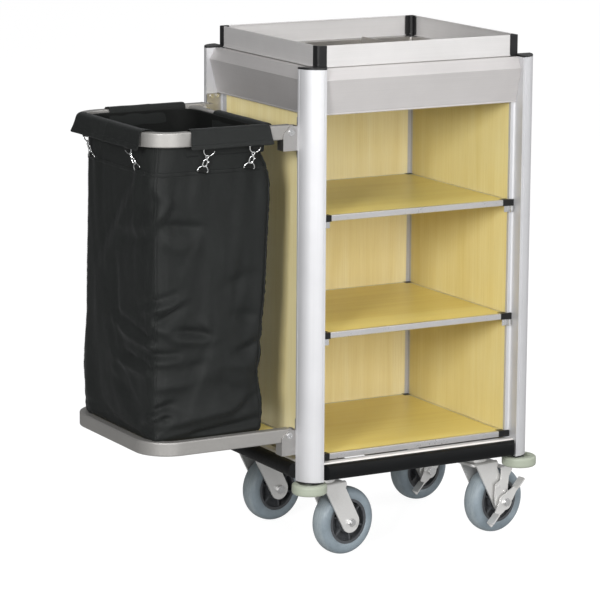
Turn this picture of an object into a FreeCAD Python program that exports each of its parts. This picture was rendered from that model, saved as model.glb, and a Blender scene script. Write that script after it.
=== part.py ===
# Housekeeping cart: aluminium corner-post cabinet with three open shelves and
# a gallery top tray, a fold-up laundry-bag frame and a fold-up bag platform on
# its left end, four 150 mm swivel casters (the right two with pedals) and
# four corner bumper rollers.
#
# Pieces are modelled in millimetres with the front-left-floor corner of the
# cabinet's envelope at the origin (x along the open front, y towards the back,
# z up). On saving they move so that the part's origin is on the floor under
# the middle of the cart.
import FreeCAD, Part
import math
import os

Vec = FreeCAD.Vector
os.makedirs("parts", exist_ok=True)

# ---------------------------------------------------------- main dimensions
WIDTH, DEPTH = 577.0, 500.0          # cabinet over the corner posts
ORIGIN_X, ORIGIN_Y = 135.0, DEPTH / 2  # part origin in the corner frame

POST_R = 45.0                        # quarter-round corner posts
POST_Z0, POST_Z1 = 193.7, 1078.0
POST_WALL = 2.6
FLANK = 30.0                         # front face of the front posts' wings
WING_BACK = 37.0
PANEL_OUT, PANEL_IN = 40.0, 56.0     # panel faces, from the envelope planes
BLOCK_REACH = 64.0                   # reach of the rear posts' inner blocks
RAIL_START = POST_R + 0.3            # rails stop just clear of the posts

HEAD_Z0 = 978.6                      # lower hem of the header rails
RIM_Z0, RIM_Z1 = 1077.8, 1079.2      # flat rim of the top tray
RAIL_Z0, RAIL_Z1 = 198.0, 232.5      # base rails
DECK_Z0, DECK_Z1 = 192.0, 195.0      # floor of the base deck

ROLLER_R, ROLLER_INSET = 38.0, 22.0
ROLLER_Z0, ROLLER_Z1 = 168.0, 190.0
RUN = 0.05                           # radial running clearance

ALONG_X, ALONG_Y, UP = (1, 0, 0), (0, 1, 0), (0, 0, 1)
TO_FRONT, DOWN = (0, -1, 0), (0, 0, -1)


# ------------------------------------------------------------------- helpers
def box(x0, x1, y0, y1, z0, z1):
    return Part.makeBox(x1 - x0, y1 - y0, z1 - z0, Vec(x0, y0, z0))


def cyl(base, axis, radius, length):
    return Part.makeCylinder(radius, length, Vec(*base), Vec(*axis))


def prism(points, axis, start, end):
    """A polygon given in the plane square to the axis, extruded from start to end."""
    length = end - start
    if axis == "x":
        corners = [Vec(start, p, q) for p, q in points]
        run = Vec(length, 0, 0)
    elif axis == "y":
        corners = [Vec(p, start, q) for p, q in points]
        run = Vec(0, length, 0)
    else:
        corners = [Vec(p, q, start) for p, q in points]
        run = Vec(0, 0, length)
    return Part.Face(Part.makePolygon(corners + [corners[0]])).extrude(run)


def clean(shape):
    """A boolean result with split faces merged, as a solid when it is single."""
    solids = shape.removeSplitter().Solids
    return solids[0] if len(solids) == 1 else Part.makeCompound(solids)


def fuse(first, *others):
    for other in others:
        first = first.fuse(other)
    return clean(first)


def cut(shape, *tools):
    for tool in tools:
        shape = shape.cut(tool)
    return clean(shape)


def mirror_x(shape):
    return shape.mirror(Vec(WIDTH / 2.0, 0, 0), Vec(1, 0, 0))


def mirror_y(shape):
    return shape.mirror(Vec(0, DEPTH / 2.0, 0), Vec(0, 1, 0))


def left_right(shape):
    return [shape, mirror_x(shape)]


def front_rear(shape):
    return [shape, mirror_y(shape)]


def four_corners(shape):
    return left_right(shape) + left_right(mirror_y(shape))


def is_line(edge, axis):
    if not hasattr(edge.Curve, "Direction"):
        return False
    return abs(abs(getattr(edge.Curve.Direction, axis)) - 1.0) < 1e-6


def bottom_at(z):
    """Edge test: the edge's lowest point is at height z."""
    return lambda edge: abs(edge.BoundBox.ZMin - z) < 1e-4


def fillet(shape, radius, test):
    edges = [edge for edge in shape.Edges if test(edge)]
    if not edges:
        return shape
    # guards against a fillet the kernel cannot build: the edges stay sharp
    try:
        out = shape.makeFillet(radius, edges)
    except Exception:
        return shape
    return out if out.isValid() and len(out.Solids) == len(shape.Solids) else shape


def rounded_wire(x0, x1, y0, y1, radius, z):
    """A closed wire: rectangle with rounded corners, at height z."""
    def arc(x, y, first_angle):
        points = []
        for degrees in (first_angle, first_angle + 45.0, first_angle + 90.0):
            angle = math.radians(degrees)
            points.append(Vec(x + radius * math.cos(angle), y + radius * math.sin(angle), z))
        return Part.Arc(*points).toShape()

    def line(xa, ya, xb, yb):
        return Part.makeLine(Vec(xa, ya, z), Vec(xb, yb, z))

    xl, xr, yf, yb = x0 + radius, x1 - radius, y0 + radius, y1 - radius
    return Part.Wire([line(xl, y0, xr, y0), arc(xr, yf, -90.0),
                      line(x1, yf, x1, yb), arc(xr, yb, 0.0),
                      line(xr, y1, xl, y1), arc(xl, yb, 90.0),
                      line(x0, yb, x0, yf), arc(xl, yf, 180.0)])


def rounded_box(x0, x1, y0, y1, z0, z1, radius):
    return Part.Face(rounded_wire(x0, x1, y0, y1, radius, z0)).extrude(Vec(0, 0, z1 - z0))


def save(name, *shapes):
    """Write one node: its solids, moved into the part frame."""
    solids = [solid for shape in shapes for solid in shape.Solids]
    out = solids[0] if len(solids) == 1 else Part.makeCompound(solids)
    out = out.copy()
    out.translate(Vec(-ORIGIN_X, -ORIGIN_Y, 0))
    out.exportStep("parts/%s.step" % name)


# -------------------------------------------------------------- corner posts
GROOVE_R, GROOVE_ANGLE = 0.8, math.radians(7.5)
COVE_R = 5.0
COVE_X, COVE_Y = POST_R + COVE_R, FLANK - COVE_R   # axis of the front posts' cove
CAP_Z1, CAP_PAD_Z1 = POST_Z1 + 4.0, POST_Z1 + 1.4


def quarter(z0, z1, radius=POST_R, reach=POST_R):
    """Quarter-round column, arc to the envelope corner, ending at x = y = reach."""
    low = POST_R - radius - 1
    column = cyl((POST_R, POST_R, z0), UP, radius, z1 - z0)
    return column.common(box(low, reach, low, reach, z0, z1))


def corner_post(front):
    column = quarter(POST_Z0, POST_Z1)
    z0, z1 = POST_Z0 - 1, POST_Z1 + 1    # cutters run past both ends
    # grooves in the arc beside its two ends
    groove_far = POST_R - POST_R * math.sin(GROOVE_ANGLE)
    groove_near = POST_R - POST_R * math.cos(GROOVE_ANGLE)
    tools = [cyl((x, y, z0), UP, GROOVE_R, z1 - z0)
             for x, y in ((groove_far, groove_near), (groove_near, groove_far))]
    # hollow, with an extension towards the middle of the cart
    bore_r = POST_R - POST_WALL
    tools.append(quarter(z0, z1, bore_r, 36.6))
    tools.append(quarter(z0, z1, bore_r, 42.2).common(box(0, 42.2, 0, 26.6, z0, z1)))
    if front:
        # the wing carries the side panel and shows a strip beside the opening
        wing = box(38.0, PANEL_IN, FLANK, WING_BACK, POST_Z0, POST_Z1)
        # the cove runs between the base rail and the header hem
        cove = cut(box(POST_R, COVE_X, COVE_Y, FLANK, RAIL_Z1 + 0.4, HEAD_Z0 - 0.3),
                   cyl((COVE_X, COVE_Y, z0), UP, COVE_R, z1 - z0))
        body = fuse(column, wing, cove)
        tools.append(box(39.8, 70, WING_BACK, 70, z0, z1))
    else:
        # L-shaped inner block, hollowed where its arms cross
        body = fuse(column,
                    box(36.0, PANEL_IN, PANEL_OUT, BLOCK_REACH, POST_Z0, POST_Z1),
                    box(PANEL_OUT, BLOCK_REACH, 36.0, PANEL_IN, POST_Z0, POST_Z1))
        tools.append(box(20, 39.999, POST_R, 70, z0, z1))
        tools.append(box(POST_R, 70, 20, 39.999, z0, z1))
        tools.append(box(42.6, 53.0, 42.6, 53.0, z0, z1))
    return cut(body, *tools)


def post_cap():
    """Moulded cap with a pad for the gallery corner."""
    cap = fuse(quarter(POST_Z1, CAP_Z1), box(36.0, 62.0, 26.0, 54.0, POST_Z1, CAP_PAD_Z1))
    return fillet(cap, 1.6, bottom_at(CAP_Z1))


def end_plug():
    """Plug in the foot of a post; it holds the roller bolt."""
    foot = quarter(POST_Z0 - 2.9, POST_Z0 - 0.05).common(box(1.5, 43.5, 1.5, 43.5, 180, 200))
    stem = cyl((ROLLER_INSET, ROLLER_INSET, POST_Z0 - 1.0), UP, 9.6, 26.0)
    return cut(fuse(foot, stem), cyl((ROLLER_INSET, ROLLER_INSET, 180), UP, 4.2, 60))


front_post = corner_post(True)
rear_post = mirror_y(corner_post(False))
save("corner_post_fl", front_post)
save("corner_post_fr", mirror_x(front_post))
save("corner_post_rl", rear_post)
save("corner_post_rr", mirror_x(rear_post))
save("post_caps", *four_corners(post_cap()))
save("post_end_plugs", *four_corners(end_plug()))

# -------------------------------------------------------------- wood panels
PANEL_Z0, PANEL_Z1 = 222.0, 1030.0
PANEL_END = BLOCK_REACH + 0.2

side_panel = box(PANEL_OUT, PANEL_IN, WING_BACK + 0.3, DEPTH - PANEL_END, PANEL_Z0, PANEL_Z1)
save("side_panel_left", side_panel)
save("side_panel_right", mirror_x(side_panel))
save("back_panel", box(PANEL_END, WIDTH - PANEL_END, DEPTH - PANEL_IN, DEPTH - PANEL_OUT,
                       PANEL_Z0, PANEL_Z1))

# -------------------------------------------------- header rails, top of cart
CREASE, CREASE_Z = 8.0, 1054.0       # outward crease: inset and height
HEAD_TOP, HEAD_HEM = 22.0, 27.5      # insets of the top edge and the hem
HEAD_T = 2.2
FLANGE_IN = 37.0                     # inner edge of the top flange

# columns: inset from the envelope plane, z
HEADER_PROFILE = [
    (HEAD_TOP, RIM_Z0), (CREASE, CREASE_Z),
    (HEAD_HEM - 0.8, HEAD_Z0 + 3.2), (HEAD_HEM - 2.0, HEAD_Z0 + 2.2),
    (HEAD_HEM - 2.0, HEAD_Z0 + 0.8), (HEAD_HEM - 1.2, HEAD_Z0),
    (HEAD_HEM + 2.2, HEAD_Z0), (HEAD_HEM + 2.2, HEAD_Z0 + 2.0),
    (HEAD_HEM + 1.4, HEAD_Z0 + 3.2), (CREASE + HEAD_T + 0.3, CREASE_Z),
    (HEAD_TOP + HEAD_T * 0.6, RIM_Z0 - HEAD_T), (FLANGE_IN, RIM_Z0 - HEAD_T),
    (FLANGE_IN, RIM_Z0)]


def header_rails():
    """Front, back, left and right rails; flanges stop short of the posts."""
    z0, z1 = 1070, 1080
    block_end = BLOCK_REACH + 0.4
    along = prism(HEADER_PROFILE, "x", RAIL_START, WIDTH - RAIL_START)
    left = prism(HEADER_PROFILE, "y", RAIL_START, DEPTH - RAIL_START)
    back = cut(mirror_y(along),
               *left_right(box(30, block_end, DEPTH - 58, DEPTH - 35.8, z0, z1)))
    front = cut(along, *left_right(box(30, PANEL_IN + 0.3, 29.8, 60, z0, z1)))
    left = cut(left, box(35.8, 60, DEPTH - block_end, DEPTH - 30, z0, z1))
    return [front, back] + left_right(left)


save("header_rails", *header_rails())

# ---------------------------------------------------------------- top tray
TRAY_X0, TRAY_X1 = 58.0, WIDTH - 58.0
TRAY_Y0, TRAY_Y1 = 39.0, 442.0
TRAY_Z, TRAY_T = 1036.0, 2.0         # top of the tray floor, sheet thickness
RIM_INSET = 37.6
DIVIDER_X, DIVIDER_T = 386.0, 3.0


def top_tray():
    pan = rounded_box(TRAY_X0, TRAY_X1, TRAY_Y0, TRAY_Y1, TRAY_Z - TRAY_T, 1078.0, 9.0)
    rim = box(RIM_INSET, WIDTH - RIM_INSET, 27.6, DEPTH - RIM_INSET, RIM_Z0, RIM_Z1)
    notch = BLOCK_REACH + 0.6
    for corner in four_corners(box(0, notch, 0, notch, 1070, 1090)):
        rim = rim.cut(corner)
    hollow = rounded_box(TRAY_X0 + TRAY_T, TRAY_X1 - TRAY_T, TRAY_Y0 + TRAY_T,
                         TRAY_Y1 - TRAY_T, TRAY_Z, 1090.0, 7.5)
    return cut(fuse(pan, rim), hollow)


def tray_divider():
    gap = TRAY_T + 0.2
    divider = box(DIVIDER_X - DIVIDER_T / 2, DIVIDER_X + DIVIDER_T / 2,
                  TRAY_Y0 + gap, TRAY_Y1 - gap, TRAY_Z + 0.1, 1086.0)
    return fillet(divider, 6.0, lambda e: is_line(e, "x") and e.BoundBox.ZMin > 1085.0)


save("top_tray", top_tray())
save("tray_divider", tray_divider())

# ----------------------------------------------------------------- gallery
GALLERY_X, GALLERY_Y = 40.0, 30.0    # outer faces, from the envelope planes
GALLERY_Z0, GALLERY_Z1 = 1079.4, 1124.5
GALLERY_CORNER = 21.0


def gallery_profile(face):
    """Wall section: inset from the envelope plane, z."""
    z0, z1 = GALLERY_Z0, GALLERY_Z1
    return [(face, z0 + 2.4), (face - 2.0, z0 + 2.4), (face - 2.0, z0), (face + 7.0, z0),
            (face + 7.0, z0 + 1.6), (face + 2.2, z0 + 1.6), (face + 2.2, z1 - 2.2),
            (face + 4.4, z1 - 2.2), (face + 4.4, z1 - 0.6), (face + 3.8, z1),
            (face + 0.7, z1), (face, z1 - 0.7)]


def gallery_panels():
    x_end = GALLERY_X + GALLERY_CORNER + 0.1
    y_end = GALLERY_Y + GALLERY_CORNER + 0.1
    front = prism(gallery_profile(GALLERY_Y), "x", x_end, WIDTH - x_end)
    left = prism(gallery_profile(GALLERY_X), "y", y_end, DEPTH - y_end)
    return front_rear(front) + left_right(left)


def gallery_corner():
    x, y, size = GALLERY_X - 0.4, GALLERY_Y - 0.4, GALLERY_CORNER + 0.4
    outline = [(x + 3.0, y), (x + size, y), (x + size, y + 6.0), (x + 10.0, y + 6.0),
               (x + 6.0, y + 10.0), (x + 6.0, y + size), (x, y + size), (x, y + 3.0)]
    corner = prism(outline, "z", CAP_PAD_Z1, GALLERY_Z1)
    corner = fillet(corner, 1.0, bottom_at(GALLERY_Z1))
    # room for the quarter-round of the post cap
    return cut(corner, quarter(POST_Z1 - 1, CAP_Z1 + 0.1, POST_R + 0.1, POST_R + 0.1))


save("gallery_panels", *gallery_panels())
save("gallery_corners", *four_corners(gallery_corner()))

# ----------------------------------------------------------------- shelves
SHELF_TOPS = {"upper_shelf": 765.4, "middle_shelf": 512.9, "bottom_shelf": 248.4}
SHELF_T = 13.0                       # edge trim height
SHELF_X0 = PANEL_IN + 0.4
SHELF_X1 = WIDTH - SHELF_X0
SHELF_Y0, SHELF_Y1 = 26.0, 443.6
TRIM_W = 8.0
CORNER = 17.0                        # side of the square corner reliefs
CLIP_T = 1.6


def shelf_board(top):
    bottom = top - SHELF_T
    board = box(SHELF_X0 + TRIM_W, SHELF_X1 - TRIM_W, SHELF_Y0 + TRIM_W, SHELF_Y1 - TRIM_W,
                bottom + 1.0, top - 0.4)
    for x in (SHELF_X0, SHELF_X1 - CORNER):
        for y in (SHELF_Y0, SHELF_Y1 - CORNER):
            board = board.cut(box(x, x + CORNER, y, y + CORNER, bottom, top + 1))
    return clean(board)


def edge_trims(top):
    """Extruded trims with a chamfered nose, on all four edges."""
    bottom = top - SHELF_T
    # columns: distance in from the shelf edge, z
    profile = [(0.0, bottom + 1.2), (1.2, bottom), (TRIM_W - 0.2, bottom),
               (TRIM_W - 0.2, top), (1.2, top), (0.0, top - 1.2)]
    end = CORNER + 0.1
    x0, x1 = SHELF_X0 + end, SHELF_X1 - end
    front = prism([(SHELF_Y0 + p, z) for p, z in profile], "x", x0, x1)
    back = prism([(SHELF_Y1 - p, z) for p, z in profile], "x", x0, x1)
    left = prism([(SHELF_X0 + p, z) for p, z in profile], "y", SHELF_Y0 + end, SHELF_Y1 - end)
    return [front, back] + left_right(left)


def corner_blocks(top):
    """Corner blocks; the front ones reach out in front of the post wing."""
    bottom = top - SHELF_T
    z0, z1 = bottom - 2, top + 2         # cutters run past both faces
    x1 = SHELF_X0 + CORNER
    wing_face = FLANK - 0.3
    front = fuse(box(SHELF_X0, x1, wing_face, SHELF_Y0 + CORNER, bottom, top),
                 box(POST_R + 1.2, x1, SHELF_Y0 - 0.3, wing_face, bottom - 0.5, top + 0.3))
    # the reach is trimmed by 0.01 behind and hollowed to follow the post's cove
    cove = cut(box(POST_R, COVE_X + 0.2, COVE_Y - 0.2, FLANK, z0, z1),
               cyl((COVE_X, COVE_Y, bottom - 3), UP, COVE_R - 0.2, 30))
    front = cut(front, box(SHELF_X0 - 20.5, SHELF_X0 - 0.01, wing_face - 0.01, 90, z0, z1), cove)
    rear = box(SHELF_X0, x1, SHELF_Y1 - CORNER, SHELF_Y1, bottom, top)
    return left_right(front) + left_right(rear)


def corner_clips(top):
    """Sheet clips under the corners of a shelf."""
    z1 = top - SHELF_T - 0.6
    z0 = top - SHELF_T - 14.0
    x, y = 52.0, 25.6                    # axis of the front clip's curl
    curl = cut(cyl((x, y, z0), UP, 4.2, z1 - z0), cyl((x, y, z0 - 1), UP, 2.6, z1 - z0 + 2),
               box(40, 60, 25.0, 40, z0 - 1, z1 + 1))
    leaf_y = SHELF_Y0 + 1.0 + CLIP_T
    front = fuse(curl, box(SHELF_X0, 70.0, SHELF_Y0 + 1.0, leaf_y, z0, z1),
                 box(54.4, 57.0, 24.6, 28.6, z0, z1))
    front = fuse(front, box(57.0, 70.0, leaf_y, SHELF_Y0 + 15.0, z1 - CLIP_T, z1))
    rear_y = SHELF_Y1 - 2.0
    rear = fuse(box(57.2, 72.0, SHELF_Y1 - 16.0, rear_y, z1 - CLIP_T, z1),
                box(57.2, 72.0, rear_y - CLIP_T, rear_y, z0, z1))
    return left_right(front) + left_right(rear)


trims, blocks, clips = [], [], []
for name, top in SHELF_TOPS.items():
    save(name, shelf_board(top))
    trims += edge_trims(top)
    blocks += corner_blocks(top)
    if name != "bottom_shelf":
        clips += corner_clips(top)
save("shelf_trims", *trims)
save("shelf_corner_blocks", *blocks)
save("shelf_clips", *clips)

# --------------------------------------------------------------------- base
# columns: inset from the envelope plane, z
RAIL_PROFILE = [(13.0, RAIL_Z1), (8.0, RAIL_Z1 - 4.5), (8.0, RAIL_Z0), (29.2, RAIL_Z0),
                (29.2, RAIL_Z1)]
RAIL_BORE = [(13.8, RAIL_Z1 - 2.2), (10.2, RAIL_Z1 - 5.4), (10.2, RAIL_Z0 + 2.2),
             (27.0, RAIL_Z0 + 2.2), (27.0, RAIL_Z1 - 2.2)]
DECK_INSET, DECK_WALL, DECK_WALL_Z1 = 29.4, 2.5, 232.0

BUMPER_Z0, BUMPER_Z1 = 197.2, 230.4
BUMPER_OUT = 10.0                    # reach outside the envelope
BUMPER_BACK, BUMPER_SHOULDER = 7.9, 3.0  # insets of the flat back and the arc ends
BUMPER_STEPS = 14
BUMPER_START = POST_R + 1.5


def base_rail(axis, length):
    return cut(prism(RAIL_PROFILE, axis, RAIL_START, length - RAIL_START),
               prism(RAIL_BORE, axis, POST_R, length - POST_R))


def base_deck():
    """Shallow open box with cut-away corners and two windows."""
    inner = DECK_INSET + DECK_WALL
    deck = box(DECK_INSET, WIDTH - DECK_INSET, DECK_INSET, DEPTH - DECK_INSET,
               DECK_Z0, DECK_WALL_Z1)
    deck = deck.cut(box(inner, WIDTH - inner, inner, DEPTH - inner,
                        DECK_Z1, DECK_WALL_Z1 + 1))
    for notch in (box(0, 57, 0, 38.5, 180, 240), box(0, 45.4, 0, 45.4, 180, 240),
                  box(0, 65, DEPTH - 65, DEPTH, 180, 240)):
        for tool in left_right(notch):
            deck = deck.cut(tool)
    for x in (190.0, 330.0):
        deck = deck.cut(rounded_box(x, x + 57.0, 150.0, 350.0, 180, DECK_Z1 + 1, 12.0))
    return clean(deck)


def bumper_profile():
    """D-shaped section: inset from the envelope plane, z."""
    middle = 0.5 * (BUMPER_Z0 + BUMPER_Z1)
    points = [(BUMPER_BACK, BUMPER_Z0), (BUMPER_BACK, BUMPER_Z1)]
    for i in range(BUMPER_STEPS + 1):
        angle = math.pi / 2 - math.pi * i / BUMPER_STEPS
        inset = BUMPER_SHOULDER
        if 0 < i < BUMPER_STEPS:
            inset -= (BUMPER_SHOULDER + BUMPER_OUT) * math.cos(angle) ** 0.72
        points.append((inset, middle + 0.5 * (BUMPER_Z1 - BUMPER_Z0) * math.sin(angle)))
    return points


def bumper_strip(axis, length):
    """Bumper strip with its ends cut off at an angle."""
    strip = prism(bumper_profile(), axis, BUMPER_START, length - BUMPER_START)
    front = -BUMPER_OUT - 1
    for end, inward in ((BUMPER_START, 1), (length - BUMPER_START, -1)):
        # columns: place along the strip, inset from the envelope plane
        wedge = [(end - inward * 0.01, 8.2), (end + inward * 9.0, front),
                 (end - inward * 30, front), (end - inward * 30, 8.2)]
        if axis == "y":
            wedge = [(inset, along) for along, inset in wedge]
        strip = strip.cut(prism(wedge, "z", 190, 240))
    return clean(strip)


for name, strip in (("base_rails", base_rail), ("bumper_strips", bumper_strip)):
    save(name, *front_rear(strip("x", WIDTH)), *left_right(strip("y", DEPTH)))
save("base_deck", base_deck())

# ------------------------------------- hinges of the two fold-up frames
BAR_X = -343.0                       # outer face of both fold-up frames
ARM_Y0, ARM_W = 48.5, 20.0           # front arm, the rear one is its mirror
PIVOT_X, PIVOT_R = -14.5, 5.0
BAG_TUBE_Z, BAG_TUBE_H = 945.0, 31.0     # tube centre and height
LOW_TUBE_Z, LOW_TUBE_H = 293.0, 30.0     # the same for the platform
BAG_PLATE, BAG_CHEEK = (889.5, 977.8), (906.0, 958.0)    # z ranges of the brackets
LOW_PLATE, LOW_CHEEK = (246.0, 330.0), (250.0, 305.0)
CHEEK_X, CHEEK_CHAMFER = -33.0, 17.0
PLATE_FACE = 48.0                    # front of the cheek, y


def screw_places(plate):
    z0, z1 = plate
    return [(x, z) for x in (11.0, 26.0) for z in (z0 + 5.5, z1 - 5.5)]


def bracket(pivot_z, plate, cheek, tube_h):
    """Folded-sheet bracket on a post flank: mounting plate, two cheeks either
    side of the frame arm, and a web below the arm that stops it level."""
    plate_z0, plate_z1 = plate
    z0, z1 = cheek
    corner = [(CHEEK_X, z0), (CHEEK_X, z1 - CHEEK_CHAMFER), (CHEEK_X + CHEEK_CHAMFER, z1)]
    outline = corner + [(0.0, z1), (0.0, plate_z1 - 2), (2.0, plate_z1), (33.4, plate_z1),
                        (33.4, plate_z0), (2.0, plate_z0), (0.0, plate_z0 + 2), (0.0, z0)]
    front = prism(outline, "y", 45.05, PLATE_FACE)
    inner = prism(corner + [(3.0, z1), (3.0, z0)], "y", 69.0, 72.0)
    web = box(CHEEK_X, -30.2, 47.0, 72.0, z0, pivot_z - tube_h / 2 - 0.3)
    back = box(1.6, 4.4, 47.0, 72.0, z0, z1)
    out = cut(fuse(front, inner, web, back), cyl((PIVOT_X, 40, pivot_z), ALONG_Y, PIVOT_R, 40))
    for x, z in screw_places(plate):
        out = cut(out, cyl((x, 40, z), ALONG_Y, 2.6, 12))
    return out


def cross_recess(x, z, y0, y1, reach, half_w):
    """The two bars of a cross-shaped drive recess."""
    return [box(x - reach, x + reach, y0, y1, z - half_w, z + half_w),
            box(x - half_w, x + half_w, y0, y1, z - reach, z + reach)]


def bracket_screw(x, z):
    screw = fuse(cyl((x, PLATE_FACE, z), ALONG_Y, 4.6, 1.0), cyl((x, 48.9, z), ALONG_Y, 3.4, 1.1),
                 cyl((x, 46.0, z), ALONG_Y, 2.5, 3.0))
    return cut(screw, *cross_recess(x, z, 49.2, 51, reach=2.2, half_w=0.5))


def pivot_bolt(z):
    head = fuse(cyl((PIVOT_X, 45.0, z), TO_FRONT, 7.2, 1.2),
                cyl((PIVOT_X, 43.9, z), TO_FRONT, 5.4, 1.6))
    head = cut(head, *cross_recess(PIVOT_X, z, 40, 43.4, reach=3.2, half_w=0.8))
    return fuse(head, cyl((PIVOT_X, 44.9, z), ALONG_Y, PIVOT_R, 34.0),
                cyl((PIVOT_X, 72.05, z), ALONG_Y, 7.8, 5.0))


save("bag_frame_brackets", *front_rear(bracket(BAG_TUBE_Z, BAG_PLATE, BAG_CHEEK, BAG_TUBE_H)))
save("platform_brackets", *front_rear(bracket(LOW_TUBE_Z, LOW_PLATE, LOW_CHEEK, LOW_TUBE_H)))
screws, bolts = [], []
for plate in (BAG_PLATE, LOW_PLATE):
    for x, z in screw_places(plate):
        screws += front_rear(bracket_screw(x, z))
for z in (BAG_TUBE_Z, LOW_TUBE_Z):
    bolts += front_rear(pivot_bolt(z))
save("bracket_screws", *screws)
save("hinge_pivot_bolts", *bolts)

# -------------------------------------------------------- fold-up U frames
FRAME_R, TUBE_WALL = 75.0, 2.0
ARM_IN = ARM_Y0 + ARM_W              # inner face of the front arm
BOARD_Z0, BOARD_Z1 = 284.0, 299.0
EDGE_Y = 81.0                        # start of the platform's edge strips


def u_solid(inset, z0, z1, overrun):
    """U plan of the frame shrunk by inset; its inner cutter passes z by overrun."""
    outer = rounded_box(BAR_X + inset, PIVOT_X + 200, ARM_Y0 + inset, DEPTH - ARM_Y0 - inset,
                        z0, z1, FRAME_R - inset)
    inner = rounded_box(BAR_X + ARM_W - inset, PIVOT_X + 180, ARM_IN - inset,
                        DEPTH - ARM_IN + inset, z0 - overrun, z1 + overrun,
                        FRAME_R - ARM_W + inset)
    return outer.cut(inner)


def u_frame(tube_z, tube_h, crossbars):
    z0, z1 = tube_z - tube_h / 2.0, tube_z + tube_h / 2.0
    frame = clean(u_solid(0, z0, z1, 1).cut(box(PIVOT_X, 400, 0, DEPTH, z0 - 2, z1 + 2)))

    def long_edge(edge):
        bounds = edge.BoundBox
        flat = bounds.ZMax - bounds.ZMin < 1e-6
        return flat and bounds.XMin < PIVOT_X - 1e-3 and edge.Length > 25.0

    frame = fillet(frame, 3.0, long_edge)
    for y in (ARM_Y0, DEPTH - ARM_IN):
        frame = frame.fuse(cyl((PIVOT_X, y, tube_z), ALONG_Y, tube_h / 2.0, ARM_W))
    frame = clean(frame)
    # hollow tube, closed towards the pivots
    core = u_solid(TUBE_WALL, z0 + TUBE_WALL, z1 - TUBE_WALL, TUBE_WALL + 1)
    frame = frame.cut(core.cut(box(-42.0, 400, 0, DEPTH, z0 - 2, z1 + 2)))
    frame = frame.cut(cyl((PIVOT_X, 0, tube_z), ALONG_Y, PIVOT_R + RUN, DEPTH))
    for bar in crossbars:
        frame = frame.fuse(bar)
    return clean(frame)


def crossbar(x0, x1, z0, z1):
    """Bar between the arms, 1 mm into each of them."""
    return box(x0, x1, ARM_IN - 1.0, DEPTH - ARM_IN + 1.0, z0, z1)


def platform_board():
    gap = 0.4
    board = rounded_box(BAR_X + ARM_W + gap, 60.0, ARM_IN + gap, DEPTH - ARM_IN - gap,
                        BOARD_Z0, BOARD_Z1, FRAME_R - ARM_W - gap)
    board = board.cut(box(-24.0, 100, 0, DEPTH, 270, 310))
    for notch in front_rear(box(-36.0, 100, 0.0, 74.0, 270, 310)):
        board = board.cut(notch)
    return clean(board)


# sections of the strips on the board's cabinet-side edge; columns: x, z
EDGE_TRIM = [(-23.9, BOARD_Z0 - 0.5), (-23.9, BOARD_Z1 + 1.0), (-19.6, BOARD_Z1 + 1.0),
             (-18.4, BOARD_Z1 - 0.2), (-18.4, BOARD_Z0 - 0.5)]
EDGE_SEAL = [(-18.3, BOARD_Z0), (-18.3, BOARD_Z1 - 1.0), (-13.0, BOARD_Z1 - 2.0),
             (-11.0, BOARD_Z1 - 5.0), (-11.0, BOARD_Z0 + 3.0), (-13.0, BOARD_Z0)]

bag_crossbar = fillet(crossbar(-57.0, -37.0, BAG_TUBE_Z - 12.0, BAG_TUBE_Z + 12.0), 3.0,
                      lambda e: is_line(e, "y"))
save("bag_frame_tube", u_frame(BAG_TUBE_Z, BAG_TUBE_H, [bag_crossbar]))
slats = [crossbar(x, x + 28.0, 280.4, 283.8) for x in (-300.0, -200.0, -90.0)]
save("platform_tube", u_frame(LOW_TUBE_Z, LOW_TUBE_H, slats))
save("platform_board", platform_board())
save("platform_edge_trim", prism(EDGE_TRIM, "y", EDGE_Y, DEPTH - EDGE_Y))
save("platform_edge_seal", prism(EDGE_SEAL, "y", EDGE_Y, DEPTH - EDGE_Y))

# ------------------------------------------------------------- laundry bag
BAG_T = 3.0
BAG_SECTIONS = [  # z, x0, x1, y0, y1, corner radius
    (299.6, -309.0, -66.0, 96.0, 426.0, 34.0),
    (318.0, -317.0, -57.0, 86.0, 429.0, 38.0),
    (420.0, -325.0, -50.0, 79.0, 440.0, 42.0),
    (600.0, -326.0, -48.0, 77.0, 441.0, 44.0),
    (780.0, -323.0, -50.0, 76.0, 437.0, 42.0),
    (880.0, -321.5, -56.5, 75.0, 431.0, 44.0),
    (922.0, -321.4, -58.6, 71.5, 428.5, 58.0),
    (957.0, -321.4, -58.6, 70.5, 429.5, 60.0)]


def bag_loft(inset, raise_bottom, raise_top):
    raises = [raise_bottom] + [0.0] * (len(BAG_SECTIONS) - 2) + [raise_top]
    wires = [rounded_wire(x0 + inset, x1 - inset, y0 + inset, y1 - inset, radius - inset,
                          z + up)
             for (z, x0, x1, y0, y1, radius), up in zip(BAG_SECTIONS, raises)]
    return Part.makeLoft(wires, True, True)


save("laundry_bag", cut(bag_loft(0.0, 0.0, 0.0), bag_loft(BAG_T, BAG_T, 1.5)))

# ------------------------------------------------------------- snap hooks
D_RING_R, D_WIRE_R = 12.5, 1.15
LOOP_R, LOOP_WIRE_R = 4.7, 1.5
HOOK_Z = 919.0                       # height of the upper D-rings' bars

HOOKS = [  # x, y, turn, tilt, lean (degrees)
    (-203.0, 54.0, 0.0, 16.0, 12.0), (-203.0, DEPTH - 54.0, 180.0, 16.0, 12.0),
    (-95.0, 54.0, 0.0, 16.0, 10.0), (-95.0, DEPTH - 54.0, 180.0, 16.0, 10.0),
    (-338.5, 160.0, -90.0, 16.0, -24.0), (-338.5, 362.0, -90.0, 16.0, -4.0),
    (-47.0, 124.0, 90.0, 7.0, 6.0), (-47.0, 286.0, 90.0, 7.0, -6.0)]


def ring(z, radius, wire_r):
    return Part.makeTorus(radius, wire_r, Vec(0, 0, z), Vec(*ALONG_Y))


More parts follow.
